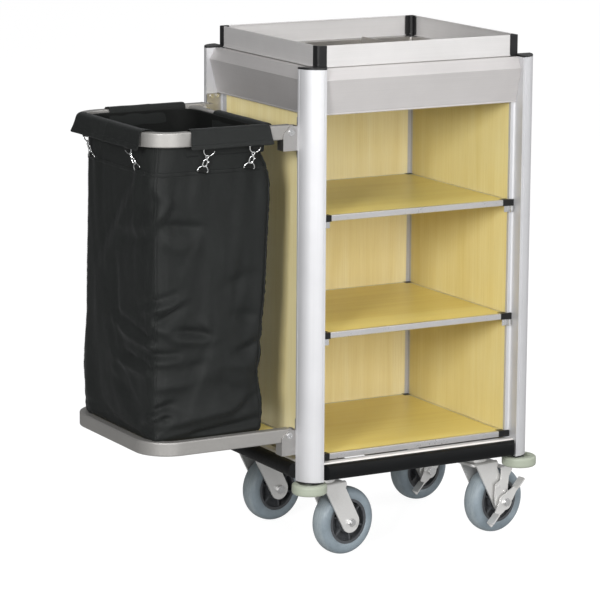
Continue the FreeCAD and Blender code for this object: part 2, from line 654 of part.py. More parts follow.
def d_ring(z, z0, z1):
    """Straight bar at height z with the part of a ring lying between z0 and z1."""
    return fuse(ring(z, D_RING_R, D_WIRE_R).common(box(-20, 20, -5, 5, z0, z1)),
                cyl((-D_RING_R, 0, z), ALONG_X, D_WIRE_R, 2 * D_RING_R))


def snap_hook():
    """One trigger snap hanging in the XZ plane with its top bar at the origin:
    D-ring, swivel eye and barrel, hook loop with its gate lever, lower D-ring."""
    upper_z, lower_z = -25.6, -32.0      # centres of the loop's two bends
    loop = [cyl((-LOOP_R, 0, upper_z), DOWN, LOOP_WIRE_R, 6.4),
            cyl((LOOP_R, 0, upper_z), DOWN, LOOP_WIRE_R * 0.8, 6.4),
            ring(upper_z, LOOP_R, LOOP_WIRE_R).common(box(-12, 12, -5, 5, upper_z, 0)),
            ring(lower_z, LOOP_R, LOOP_WIRE_R).common(box(-12, 12, -5, 5, -60, lower_z))]
    eye = ring(-14.6, 3.3, 1.1)
    barrel = cyl((0, 0, -17.2), DOWN, 2.9, 4.6)
    collar = cyl((0, 0, -18.2), DOWN, 3.6, 1.4)
    lever = cyl((LOOP_R, 0, -27.4), (1, 0, 0.6), 1.2, 4.6)
    return fuse(d_ring(0, -20, 0), eye, barrel, collar, *loop, lever,
                d_ring(-48.0, -48.0, 0))


def place_hook(hook, x, y, turn, tilt, lean):
    """Tilt brings the foot in towards the bag, lean swings it along the face."""
    hook = hook.copy()
    for axis, angle in ((ALONG_X, tilt), (ALONG_Y, lean), (UP, turn)):
        hook.rotate(Vec(0, 0, 0), Vec(*axis), angle)
    hook.translate(Vec(x, y, HOOK_Z))
    return hook


hook = snap_hook()
save("snap_hooks", *[place_hook(hook, *place) for place in HOOKS])

# ------------------------------------------------------------------ casters
# Modelled with the swivel axis on z and the wheel offset towards +x.
WHEEL_R, HUB_R = 75.0, 50.0
TRAIL = 56.0                         # wheel axis from the swivel axis
SWIVEL_X, SWIVEL_Y = 94.0, 90.0      # swivel axis inset from the envelope
CASTER_YAW = 10.0                    # the casters stand turned by this much
AXLE_R, KING_R = 6.0, 6.0
LEG_IN, LEG_OUT = 24.6, 29.1         # faces of a fork leg, from the middle
LEG_FOOT_R = 23.5
CROWN_Z0, CROWN_Z1 = 166.0, 171.0
HUB_HALF = 20.0
HOUSING_Y0, HOUSING_Y1 = -36.2, -33.2
PEDAL_Y0, PEDAL_Y1 = -43.2, -40.2
PEDAL_ANGLE = -44.0


def axle_cyl(y0, length, radius):
    """Cylinder on the wheel axis, running from y0 towards +y."""
    return cyl((TRAIL, y0, WHEEL_R), ALONG_Y, radius, length)


def flip_y(shape):
    return shape.mirror(Vec(0, 0, 0), Vec(0, 1, 0))


def foot_tangent(x, z, side):
    """Where the line from (x, z) touches the leg's foot circle, on one side."""
    dx, dz = x - TRAIL, z - WHEEL_R
    angle = math.atan2(dz, dx) + side * math.acos(LEG_FOOT_R / math.hypot(dx, dz))
    return TRAIL + LEG_FOOT_R * math.cos(angle), WHEEL_R + LEG_FOOT_R * math.sin(angle)


def fork_shape():
    x0, x1 = -23.0, 32.0                 # top of the legs
    leg = prism([(x0, CROWN_Z1), (x1, CROWN_Z1), foot_tangent(x1, CROWN_Z1, -1),
                 (TRAIL, WHEEL_R), foot_tangent(x0, CROWN_Z1, +1)], "y", LEG_IN, LEG_OUT)
    leg = fuse(leg, axle_cyl(LEG_IN, 4.5, LEG_FOOT_R))
    crown = box(-33.0, 36.0, -LEG_OUT, LEG_OUT, CROWN_Z0, CROWN_Z1)
    crown = fillet(crown, 9.0, lambda e: is_line(e, "z"))
    race = fuse(cyl((0, 0, 170.9), UP, 23.5, 3.2), cyl((0, 0, 172.4), UP, 27.0, 3.3))
    # gusset lips under the crown, on the +x side
    lip = [(30.0, 171.0), (41.0, 171.0), (44.0, 163.0), (40.0, 152.0), (33.0, 160.0)]
    lips = [prism(lip, "y", y0, y1) for y0, y1 in ((LEG_IN, LEG_OUT), (-LEG_OUT, -LEG_IN))]
    fork = fuse(flip_y(leg), leg, crown, race, *lips)
    # rounded bends where the crown turns down into the legs
    bend_r = 5.0
    bend_y = LEG_OUT - bend_r
    bend = cut(box(-60, 80, bend_y, 30.0, CROWN_Z0, 172.0),
               cyl((-61, bend_y, CROWN_Z0), ALONG_X, bend_r, 150))
    fork = cut(fork, bend, flip_y(bend))
    return cut(fork, cyl((0, 0, 150), UP, KING_R + RUN, 60), axle_cyl(-40, 80, AXLE_R))


def hexagon(y0, y1, radius):
    """Hexagon on the wheel axis with its corners turned down round."""
    points = []
    for i in range(6):
        angle = math.radians(60 * i + 12)
        points.append((TRAIL + radius * math.cos(angle), WHEEL_R + radius * math.sin(angle)))
    return prism(points, "y", y0, y1).common(axle_cyl(y0, y1 - y0, radius * 0.955))


def axle_shape(head_front, braked):
    y0, y1 = (-47.5 if braked else -38.5), 38.5
    face = -43.4 if braked else -29.2    # seat of the front head or nut
    shaft = axle_cyl(y0, y1 - y0, AXLE_R)
    if head_front:
        head_y = face - 6.4
        axle = fuse(shaft, hexagon(head_y, face, 10.2), axle_cyl(29.2, 6.0, 9.0))
        return cut(axle, box(0, 120, -60, head_y, 0, 160))
    return fuse(shaft, hexagon(face - 5.2, face, 9.6),
                cyl((TRAIL, face - 5.1, WHEEL_R), TO_FRONT, 7.4, 2.4),
                hexagon(29.2, 29.2 + 6.4, 10.2))


def hub_shape():
    def disc(radius, half_width):
        return axle_cyl(-half_width, 2 * half_width, radius)

    rim = disc(HUB_R, HUB_HALF).cut(disc(45.5, HUB_HALF + 1))
    lips = [axle_cyl(y, 2.0, HUB_R).cut(disc(44.0, 30)) for y in (HUB_HALF - 2.0, -HUB_HALF)]
    web = disc(46.5, 3.0)
    boss = disc(15.0, 24.2)
    ribs = []
    for i in range(6):
        rib = box(10.0, 46.5, -16.5, 16.5, -2.0, 2.0)
        rib.rotate(Vec(0, 0, 0), Vec(0, 1, 0), 60.0 * i + 20.0)
        rib.translate(Vec(TRAIL, 0, WHEEL_R))
        ribs.append(rib)
    collar = disc(25.0, 18.5).cut(disc(22.0, 20.0))
    return cut(fuse(rim, web, boss, collar, *ribs, *lips), disc(AXLE_R + RUN, 40.0))


# one half of the tyre's section; columns: radius, y
TYRE_PROFILE = [(HUB_R, -20.0), (53.0, -21.6), (58.0, -22.8), (64.0, -22.0), (69.5, -18.4),
                (73.2, -12.0), (74.75, -5.0)]


def tyre_shape():
    other_half = [(r, -y) for r, y in reversed(TYRE_PROFILE)]
    points = [Vec(TRAIL + r, y, WHEEL_R)
              for r, y in TYRE_PROFILE + [(WHEEL_R, 0.0)] + other_half]
    tread = Part.BSplineCurve()
    tread.interpolate(points)
    wire = Part.Wire([tread.toShape(), Part.makeLine(points[-1], points[0])])
    return Part.Face(wire).revolve(Vec(TRAIL, 0, WHEEL_R), Vec(0, 1, 0), 360.0)


# brake housing plate; columns: x, z from the wheel axis
HOUSING_OUTLINE = [(-8, 80), (24, 80), (24.5, 70), (15, 56), (12.6, 37), (12.0, 21), (13.0, 0),
                   (6, -12), (-8, -15), (-24, -8), (-27, 0), (-25, 42), (-10, 50), (-8, 59)]


def brake_housing_shape():
    x, z = TRAIL, WHEEL_R
    plate = prism([(x + dx, z + dz) for dx, dz in HOUSING_OUTLINE], "y", HOUSING_Y0, HOUSING_Y1)
    flange = box(x - 8, x + 24, HOUSING_Y0, 6.0, z + 77.2, z + 80)
    flange = flange.cut(box(x + 8, x + 40, -20.0, 10, z + 60, z + 90))
    housing = fuse(plate, flange, axle_cyl(-33.3, 4.1, 12.0))
    # block and round stud on the front of the plate
    studs = fuse(box(x - 24.5, x - 14.0, -38.0, -36.1, z + 34.0, z + 40.0),
                 cyl((x + 2.0, -36.1, z + 24.0), TO_FRONT, 3.4, 1.8))
    return cut(fuse(housing, studs), axle_cyl(-60, 100, AXLE_R))


# pedal arm before it is turned; columns: x, z from the wheel axis
PEDAL_OUTLINE = [(-66, -7.5), (-64, -9.0), (-36, -8.0), (-18, -12.5), (18, -12.5), (36, -8.0),
                 (64, -9.0), (66, -7.5), (66, 8.0), (36, 7.0), (18, 12.5), (-18, 12.5),
                 (-36, 7.0), (-66, 8.0)]


def pedal_shape():
    """Two-ended pedal: arm, hub and a tab to the front at each end."""
    hub = cyl((0, PEDAL_Y0, 0), ALONG_Y, 18.5, 3.0)
    arm = prism(PEDAL_OUTLINE, "y", PEDAL_Y0, PEDAL_Y1)
    tabs = [fillet(box(x, x + 28.0, -60.0, PEDAL_Y1, 6.0, 9.0), 3.0,
                   lambda e: is_line(e, "z") and e.BoundBox.YMax < -59.0)
            for x in (38.0, -66.0)]
    boss = cyl((0, -40.3, 0), ALONG_Y, 11.0, 3.8)
    pedal = fuse(hub, arm, boss, *tabs)
    pedal = cut(pedal, cyl((0, -80, 0), ALONG_Y, AXLE_R + RUN, 100))
    pedal.rotate(Vec(0, 0, 0), Vec(0, 1, 0), PEDAL_ANGLE)
    pedal.translate(Vec(TRAIL, 0, WHEEL_R))
    return pedal


def caster_plate(x, y):
    """Top plate with its four bolt heads, the upper race and the king pin."""
    plate = rounded_box(x - 46, x + 46, y - 36, y + 36, 188.0, DECK_Z0, 6.0)
    for dx in (-37, 37):
        for dy in (-27, 27):
            plate = plate.fuse(cyl((x + dx, y + dy, 182.5), UP, 6.2, 5.6))
    return fuse(plate, cyl((x, y, 176.0), UP, 28.0, 12.1), cyl((x, y, 158.0), UP, KING_R, 20.0),
                cyl((x, y, 157.0), UP, 10.5, 8.7))


CASTERS = [  # tag, swivel x, swivel y, braked, axle head at the front
    ("fl", SWIVEL_X, SWIVEL_Y, False, False),
    ("fr", WIDTH - SWIVEL_X, SWIVEL_Y, True, False),
    ("rl", SWIVEL_X, DEPTH - SWIVEL_Y, False, True),
    ("rr", WIDTH - SWIVEL_X, DEPTH - SWIVEL_Y, True, True)]

wheel_parts = {"caster_fork_": fork_shape(), "wheel_hub_": hub_shape(),
               "wheel_tyre_": tyre_shape()}
brake_parts = {"brake_housing_": brake_housing_shape(), "brake_pedal_": pedal_shape()}
plates = []
for tag, x, y, braked, head_front in CASTERS:
    plates.append(caster_plate(x, y))
    parts = dict(wheel_parts, wheel_axle_=axle_shape(head_front, braked))
    if braked:
        parts.update(brake_parts)
    for name, shape in parts.items():
        shape = shape.copy()
        shape.rotate(Vec(0, 0, 0), Vec(0, 0, 1), CASTER_YAW)
        shape.translate(Vec(x, y, 0))
        save(name + tag, shape)
save("caster_plates", *plates)


# --------------------------------------------------- corner bumper rollers
def roller():
    z0, z1, rim = ROLLER_Z0, ROLLER_Z1, ROLLER_R
    # columns: radius, z
    profile = [(4.15, z0 + 3), (14, z0 + 3), (20, z0), (rim - 3.5, z0), (rim - 0.8, z0 + 2.2),
               (rim, z0 + 5.5), (rim, z1 - 5.5), (rim - 0.8, z1 - 2.2), (rim - 3.5, z1),
               (24, z1), (21, z1 - 4.5), (4.15, z1 - 4.5)]
    points = [Vec(r, 0, z) for r, z in profile]
    face = Part.Face(Part.makePolygon(points + [points[0]]))
    return face.revolve(Vec(0, 0, 0), Vec(0, 0, 1), 360.0)


def roller_bolt():
    return fuse(cyl((0, 0, ROLLER_Z0 - 1.0), UP, 4.1, 50.0),
                cyl((0, 0, ROLLER_Z0 - 2.4), UP, 7.0, 5.3),
                cyl((0, 0, ROLLER_Z1 - 4.4), UP, 9.0, 5.1))


roller_bolts = []
for tag, x, y in (("fl", ROLLER_INSET, ROLLER_INSET),
                  ("fr", WIDTH - ROLLER_INSET, ROLLER_INSET),
                  ("rl", ROLLER_INSET, DEPTH - ROLLER_INSET),
                  ("rr", WIDTH - ROLLER_INSET, DEPTH - ROLLER_INSET)):
    wheel, bolt = roller(), roller_bolt()
    for shape in (wheel, bolt):
        shape.translate(Vec(x, y, 0))
    save("bumper_roller_" + tag, wheel)
    roller_bolts.append(bolt)
save("roller_bolts", *roller_bolts)
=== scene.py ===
"""A service cart with wooden shelves on four casters, and a laundry bag hung beside its left end.

World units are metres, +Z up. The cart's open front faces -Y and the bag lies beyond its -X end.
The bag is drawn in the corner frame: millimetres from the front-left floor corner of the posts'
envelope, x along the front, y to the back, z up. On the bag, "outer" is -x, away from the cart,
and "inner" is +x, towards it. Materials work in metres.
"""
import math

import bpy
import numpy as np
from mathutils import Matrix, Vector, noise


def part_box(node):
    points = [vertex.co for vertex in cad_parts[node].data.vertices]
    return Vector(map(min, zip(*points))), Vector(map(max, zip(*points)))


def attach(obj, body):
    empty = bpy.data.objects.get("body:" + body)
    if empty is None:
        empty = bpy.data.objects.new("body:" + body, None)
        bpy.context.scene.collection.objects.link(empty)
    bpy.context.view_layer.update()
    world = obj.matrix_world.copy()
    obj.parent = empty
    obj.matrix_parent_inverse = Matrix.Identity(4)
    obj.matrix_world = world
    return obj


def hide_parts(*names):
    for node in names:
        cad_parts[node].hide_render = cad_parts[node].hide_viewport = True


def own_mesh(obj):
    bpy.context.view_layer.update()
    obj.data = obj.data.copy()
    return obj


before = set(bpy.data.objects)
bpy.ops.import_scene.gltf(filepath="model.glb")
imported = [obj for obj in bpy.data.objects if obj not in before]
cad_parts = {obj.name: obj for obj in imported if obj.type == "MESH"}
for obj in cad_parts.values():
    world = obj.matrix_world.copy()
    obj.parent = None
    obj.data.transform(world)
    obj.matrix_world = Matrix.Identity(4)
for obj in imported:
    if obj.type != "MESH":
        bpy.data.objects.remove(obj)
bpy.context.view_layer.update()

FRONT_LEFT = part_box("corner_post_fl")[0]
REAR_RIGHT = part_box("corner_post_rr")[1]
ORIGIN_X, ORIGIN_Y = FRONT_LEFT.x, FRONT_LEFT.y
CART_DEPTH = (REAR_RIGHT.y - FRONT_LEFT.y) * 1000.0
CORNERS = ("fl", "fr", "rl", "rr")

# The U tube that carries the bag, lying level with its two arms to the cart.
TUBE_FRONT_Y, TUBE_BACK_Y = ((v.y - ORIGIN_Y) * 1000 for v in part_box("bag_frame_tube"))
TUBE_TOP = 960.5
TUBE_WIDTH = 20.0
BEND_OUTER = 75.0                     # radius of the tube's corners, outside and inside
BEND_INNER = BEND_OUTER - TUBE_WIDTH
BEND_X = -268.0                       # x of the corners' centres
TUBE_OUTER_X = BEND_X - BEND_OUTER
CROSSBAR_FACE_X = -37.0               # crossbar face that looks away from the bag
CROSSBAR_DROP = 3.5                   # its collar sits this much lower than the others
BOARD_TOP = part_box("platform_board")[1].z * 1000.0


# ================================================================ small tools
def assign(target, **values):
    for key, value in values.items():
        setattr(target, key, value)


def smoothstep(t):
    t = np.clip(t, 0.0, 1.0)
    return t * t * (3 - 2 * t)


def ripple(x, y, z):
    """Smooth noise at a place."""
    return noise.noise(Vector((x, y, z)))


def unit(vector):
    return vector / max(np.linalg.norm(vector), 1e-9)


def linear(hex_color):
    """#rrggbb to linear RGBA."""
    rgb = []
    for i in (1, 3, 5):
        c = int(hex_color[i:i + 2], 16) / 255.0
        rgb.append(c / 12.92 if c <= 0.04045 else ((c + 0.055) / 1.055) ** 2.4)
    return (*rgb, 1.0)


# =========================================================== material helpers
class Nodes:
    """A node tree; each method adds nodes and returns the socket to link on."""

    def __init__(self, owner):
        owner.use_nodes = True
        self.tree = owner.node_tree
        self.tree.nodes.clear()
        self._coords = None

    def node(self, kind, **settings):
        node = self.tree.nodes.new(kind)
        assign(node, **settings)
        return node

    def put(self, socket, value):
        """Links a socket, or sets a plain value; a lone number on a colour becomes grey."""
        if hasattr(value, "is_output"):
            self.tree.links.new(value, socket)
            return
        if socket.type == "RGBA" and not hasattr(value, "__len__"):
            value = (value, value, value, 1.0)
        socket.default_value = value

    def build(self, kind, inputs, **settings):
        """A node with some of its inputs, keyed by name or index, filled in."""
        node = self.node(kind, **settings)
        for key, value in inputs.items():
            self.put(node.inputs[key], value)
        return node

    @property
    def coords(self):
        if self._coords is None:
            self._coords = self.node("ShaderNodeTexCoord").outputs["Object"]
        return self._coords

    def uv(self):
        return self.node("ShaderNodeTexCoord").outputs["UV"]

    def mapping(self, scale=(1, 1, 1), loc=(0, 0, 0), rot=(0, 0, 0), vector=None):
        vector = self.coords if vector is None else vector
        return self.build("ShaderNodeMapping", {
            "Vector": vector, "Scale": scale, "Location": loc, "Rotation": rot}).outputs[0]

    def noise(self, vector, scale=1.0, detail=3.0, rough=0.5, distort=0.0):
        return self.build("ShaderNodeTexNoise", {
            "Vector": vector, "Scale": scale, "Detail": detail, "Roughness": rough,
            "Distortion": distort}).outputs[0]

    def ramp(self, factor, stops):
        node = self.build("ShaderNodeValToRGB", {0: factor})
        elements = node.color_ramp.elements
        elements.remove(elements[0])
        for i, (position, color) in enumerate(stops):
            element = elements.new(position) if i else elements[0]
            assign(element, position=position, color=color)
        return node.outputs[0]

    def mix(self, factor, below, above, mode="MIX"):
        return self.build("ShaderNodeMix", {0: factor, 6: below, 7: above},
                          data_type="RGBA", blend_type=mode).outputs[2]

    def tone(self, color, gain):
        return self.mix(1.0, color, gain, "MULTIPLY")

    def math(self, operation, *values, clamp=False):
        return self.build("ShaderNodeMath", dict(enumerate(values)),
                          operation=operation, use_clamp=clamp).outputs[0]

    def add(self, a, b):
        return self.math("ADD", a, b)

    def multiply(self, a, b):
        return self.math("MULTIPLY", a, b)

    def wave(self, distance, turn):
        """Sine of a distance times the radians it turns through per metre."""
        return self.math("SINE", self.multiply(distance, turn))

    def fit(self, value, over=(0.3, 0.7), to=(0.0, 1.0)):
        """Maps one range to another; the default source is the band most noise falls in."""
        return self.build("ShaderNodeMapRange", {
            "Value": value, "From Min": over[0], "From Max": over[1],
            "To Min": to[0], "To Max": to[1]}).outputs[0]

    def dot(self, a, b):
        return self.build("ShaderNodeVectorMath", {0: a, 1: b},
                          operation="DOT_PRODUCT").outputs["Value"]

    def bump(self, height, distance, strength, normal=None):
        inputs = {"Strength": strength, "Distance": distance, "Height": height}
        if normal is not None:
            inputs["Normal"] = normal
        return self.build("ShaderNodeBump", inputs).outputs[0]

    def bevel(self, radius):
        return self.build("ShaderNodeBevel", {"Radius": radius}, samples=4).outputs[0]

    def normal(self):
        return self.node("ShaderNodeNewGeometry").outputs["Normal"]

    def edge(self, bevel):
        """1 along hard edges, 0 on open surface."""
        return self.fit(self.dot(bevel, self.normal()), over=(0.995, 0.93))

    def split(self, vector):
        return tuple(self.build("ShaderNodeSeparateXYZ", {0: vector}).outputs)

    def camera_ray(self):
        return self.node("ShaderNodeLightPath").outputs["Is Camera Ray"]

    def mix_shader(self, factor, below, above):
        return self.build("ShaderNodeMixShader", {0: factor, 1: below, 2: above}).outputs[0]


class Mat(Nodes):
    """A material with a Principled surface."""

    def __init__(self, name):
        self.material = bpy.data.materials.new(name)
        super().__init__(self.material)
        self.output = self.node("ShaderNodeOutputMaterial")
        self.surface = self.node("ShaderNodeBsdfPrincipled")
        self.put(self.output.inputs[0], self.surface.outputs[0])

    def set(self, name, value):
        self.put(self.surface.inputs[name], value)


# ================================================================== materials
# Noise scales that draw fine lines upright, level or along y, or an even grain.
LINE_SCALES = {"upright": (900, 900, 3), "level": (3, 3, 900), "y": (900, 3, 900),
               "even": (260, 260, 260)}


def metal(name, base, rough, metallic=1.0, lines="even", line_amount=0.05, smudge=0.06,
          bevel=0.0004, edge_gain=0.12, tint=None, coat=0.0, orange_peel=0.0):
    """Satin metal: fine drawing lines, cloudy polish marks, rounded and brighter edges."""
    mat = Mat(name)
    fine = mat.noise(mat.mapping(LINE_SCALES[lines]), detail=3, rough=0.6)
    wide = mat.noise(mat.coords, scale=9.0, detail=4, rough=0.55)
    mid = mat.noise(mat.coords, scale=55.0, detail=3, rough=0.6)
    color = mat.tone(linear(base), mat.add(
        mat.fit(fine, to=(1 - line_amount, 1 + line_amount)),
        mat.fit(wide, to=(-0.035, 0.035))))
    if tint:
        color = mat.mix(mat.fit(mid, over=(0.45, 0.75)), color,
                        mat.mix(0.5, color, linear(tint)))
    rounded = mat.bevel(bevel)
    edge = mat.edge(rounded)
    polished = (0.97, 0.97, 0.97, 1)
    mat.set("Base Color", mat.mix(mat.multiply(edge, edge_gain), color, polished))
    mat.set("Metallic", metallic)
    marks = mat.add(mat.fit(fine, to=(-smudge, smudge)),
                    mat.fit(mid, to=(-smudge * 0.7, smudge * 0.7)))
    mat.set("Roughness", mat.math("SUBTRACT", mat.add(rough, marks),
                                  mat.multiply(edge, 0.08), clamp=True))
    relief = mat.bump(fine, distance=0.00003, strength=0.5, normal=rounded)
    if orange_peel:
        peel = mat.noise(mat.coords, scale=420.0, detail=2)
        relief = mat.bump(peel, distance=orange_peel, strength=0.6, normal=relief)
    mat.set("Normal", relief)
    if coat:
        mat.set("Coat Weight", coat)
        mat.set("Coat Roughness", 0.2)
    return mat.material


def plastic(name, base, rough, edge_color, dust, grain=1400.0, grain_depth=0.00004,
            variation=0.12, spec=0.5, lines=None, light=None):
    """Moulded plastic or rubber: pebble grain, cloudy gloss, scuffed edges, dust on top."""
    mat = Mat(name)
    pebble = mat.noise(mat.coords, scale=grain, detail=2)
    cloud = mat.noise(mat.coords, scale=14.0, detail=4, rough=0.6)
    mid = mat.noise(mat.coords, scale=90.0, detail=4, rough=0.65)
    color = mat.tone(linear(base), mat.fit(cloud, to=(1 - variation, 1 + variation)))
    rounded = mat.bevel(0.0005)
    worn = mat.multiply(mat.edge(rounded), mat.fit(mid, over=(0.45, 0.65), to=(0.1, 0.7)))
    color = mat.mix(worn, color, linear(edge_color))
    if light:
        color = mat.mix(mat.fit(mid, over=(0.55, 0.8), to=(0, 0.3)), color, linear(light))
    facing_up = mat.fit(mat.split(mat.normal())[2], over=(0.3, 1.0))
    dusty = mat.multiply(facing_up, mat.fit(mid, over=(0.4, 0.7), to=(0, dust)))
    mat.set("Base Color", mat.mix(dusty, color, linear("#a8a49a")))
    mat.set("Roughness", mat.add(rough, mat.add(mat.fit(mid, to=(-0.05, 0.06)),
                                                mat.fit(cloud, to=(-0.04, 0.04)))))
    mat.set("Specular IOR Level", spec)
    relief = mat.bump(pebble, distance=grain_depth, strength=0.7, normal=rounded)
    if lines is not None:
        ribs = mat.noise(mat.mapping(lines), detail=2)
        relief = mat.bump(ribs, distance=0.0001, strength=0.6, normal=relief)
    mat.set("Normal", relief)
    return mat.material


def wood(name, axis, gain=(1.0, 1.0, 1.0)):
    """Pale maple laminate: broad bands, fine fibres and short pores along one axis."""
    mat = Mat(name)

    def grain(across, along, **settings):
        scales = {"z": (across, across, along), "x": (along, across, across)}
        return mat.noise(mat.mapping(scales[axis]), **settings)
    bands = grain(across=26.0, along=1.1, detail=4, rough=0.55, distort=0.6)
    fibre = grain(across=330.0, along=5.0, detail=4, rough=0.62, distort=0.2)
    pores = grain(across=820.0, along=16.0, detail=2)
    flame = grain(across=7.0, along=9.0, detail=2)
    color = mat.ramp(bands, [(0.28, linear("#e4d49a")), (0.5, linear("#ecdfae")),
                             (0.74, linear("#f0e6bd"))])
    for pattern, over, to, shade in ((fibre, (0.32, 0.68), (0.34, 0.0), "#d8c283"),
                                     (pores, (0.62, 0.72), (0.0, 0.22), "#b89c5c"),
                                     (flame, (0.42, 0.7), (0.0, 0.14), "#f6eecb")):
        color = mat.mix(mat.fit(pattern, over=over, to=to), color, linear(shade))
    # the gain tones this copy of the laminate; on the right panel and the level boards it darkens
    # it as painted shade
    mat.set("Base Color", mat.tone(color, (*gain, 1.0)))
    mat.set("Roughness", mat.add(0.36, mat.add(mat.fit(fibre, to=(-0.05, 0.05)),
                                               mat.fit(flame, to=(-0.03, 0.03)))))
    mat.set("Specular IOR Level", 0.4)
    mat.set("Coat Weight", 0.12)
    mat.set("Coat Roughness", 0.28)
    relief = mat.bump(fibre, distance=0.00005, strength=0.45, normal=mat.bevel(0.0006))
    mat.set("Normal", mat.bump(pores, distance=0.00003, strength=0.5, normal=relief))
    return mat.material


def fabric(name, base, dark, sheen, rough, spec, pitch=0.0011):
    """Black plain weave along the UV directions (metres), with slub, sheen and faint lint."""
    mat = Mat(name)
    u, v, _ = mat.split(mat.uv())
    thread_u = mat.math("DIVIDE", u, pitch)
    thread_v = mat.math("DIVIDE", v, pitch)
    cell = mat.add(mat.math("FLOOR", thread_u), mat.math("FLOOR", thread_v))
    parity = mat.math("ABSOLUTE", mat.math("MODULO", cell, 2.0))
    arch_u = mat.math("ABSOLUTE", mat.wave(thread_u, math.pi))
    arch_v = mat.math("ABSOLUTE", mat.wave(thread_v, math.pi))
    weave = mat.add(mat.multiply(arch_u, parity),
                    mat.multiply(arch_v, mat.math("SUBTRACT", 1.0, parity)))
    slub_u = mat.noise(mat.mapping((1400.0, 30.0, 1.0), vector=mat.uv()), detail=2)
    slub_v = mat.noise(mat.mapping((30.0, 1400.0, 1.0), vector=mat.uv()), detail=2)
    cloud = mat.noise(mat.coords, scale=18.0, detail=4, rough=0.6)
    fine = mat.noise(mat.coords, scale=900.0, detail=2)
    yarn = mat.add(mat.multiply(slub_u, 0.5), mat.multiply(slub_v, 0.5))
    color = mat.mix(mat.fit(weave, over=(0.15, 0.85)), linear(dark), linear(base))
    color = mat.tone(color, mat.fit(yarn, over=(0.35, 0.65), to=(0.78, 1.22)))
    color = mat.tone(color, mat.fit(cloud, to=(0.9, 1.1)))
    lint = mat.multiply(mat.fit(fine, over=(0.70, 0.78)), 0.10)
    mat.set("Base Color", mat.mix(lint, color, linear("#4a4a48")))
    mat.set("Roughness", mat.add(rough, mat.add(
        mat.fit(weave, over=(0, 1), to=(0.06, -0.06)), mat.fit(cloud, to=(-0.04, 0.04)))))
    mat.set("Specular IOR Level", spec)
    mat.set("Sheen Weight", sheen)
    mat.set("Sheen Roughness", 0.35)
    mat.set("Sheen Tint", (0.72, 0.74, 0.76, 1))
    relief = mat.bump(yarn, distance=0.00010, strength=0.5)
    mat.set("Normal", mat.bump(weave, distance=0.00016, strength=0.75, normal=relief))
    return mat.material


TYRE_YAW = math.radians(10.0)         # how far the wheels are swivelled
SIDEWALL_LINE_PITCH = 0.0016
TREAD_LINE_PITCH = 0.0021
TREAD_RADII = (0.0705, 0.0735)        # sidewall turns into tread between these


def tyre(name, centre):
    """Grey rubber: mould lines, a paler streaked rolling band, darker sidewalls."""
    mat = Mat(name)
    centred = mat.mapping(loc=tuple(-c for c in centre))
    x, y, z = mat.split(mat.mapping(rot=(0, 0, -TYRE_YAW), vector=centred))
    radius = mat.math("SQRT", mat.add(mat.multiply(x, x), mat.multiply(z, z)))
    angle = mat.math("ARCTAN2", z, x)
    rings = mat.wave(radius, 2 * math.pi / SIDEWALL_LINE_PITCH)
    tread = mat.wave(y, 2 * math.pi / TREAD_LINE_PITCH)
    on_tread = mat.fit(radius, over=TREAD_RADII)
    grit = mat.noise(mat.coords, scale=160.0, detail=5, rough=0.68)
    cloud = mat.noise(mat.coords, scale=30.0, detail=4, rough=0.6)
    around = mat.build("ShaderNodeCombineXYZ", {0: mat.multiply(angle, 3.0),
                                                1: mat.multiply(y, 500.0)}).outputs[0]
    streak = mat.noise(around, detail=4, rough=0.6)
    color = mat.mix(mat.fit(cloud), linear("#6f7a81"), linear("#7f8a91"))
    worn = mat.multiply(on_tread, mat.fit(streak, over=(0.35, 0.7), to=(0.15, 0.75)))
    color = mat.mix(worn, color, linear("#9aa2a5"))
    color = mat.mix(mat.fit(grit, over=(0.56, 0.74), to=(0.0, 0.35)), color, linear("#565f66"))
    mat.set("Base Color", color)
    mat.set("Roughness", mat.add(0.44, mat.add(mat.multiply(on_tread, 0.14),
                                               mat.fit(grit, to=(-0.05, 0.07)))))
    mat.set("Specular IOR Level", 0.5)
    lines = mat.add(mat.multiply(rings, mat.math("SUBTRACT", 1.0, on_tread)),
                    mat.multiply(tread, on_tread))
    relief = mat.bump(lines, distance=0.00004, strength=0.5, normal=mat.bevel(0.0004))
    mat.set("Normal", mat.bump(grit, distance=0.00009, strength=0.5, normal=relief))
    return mat.material


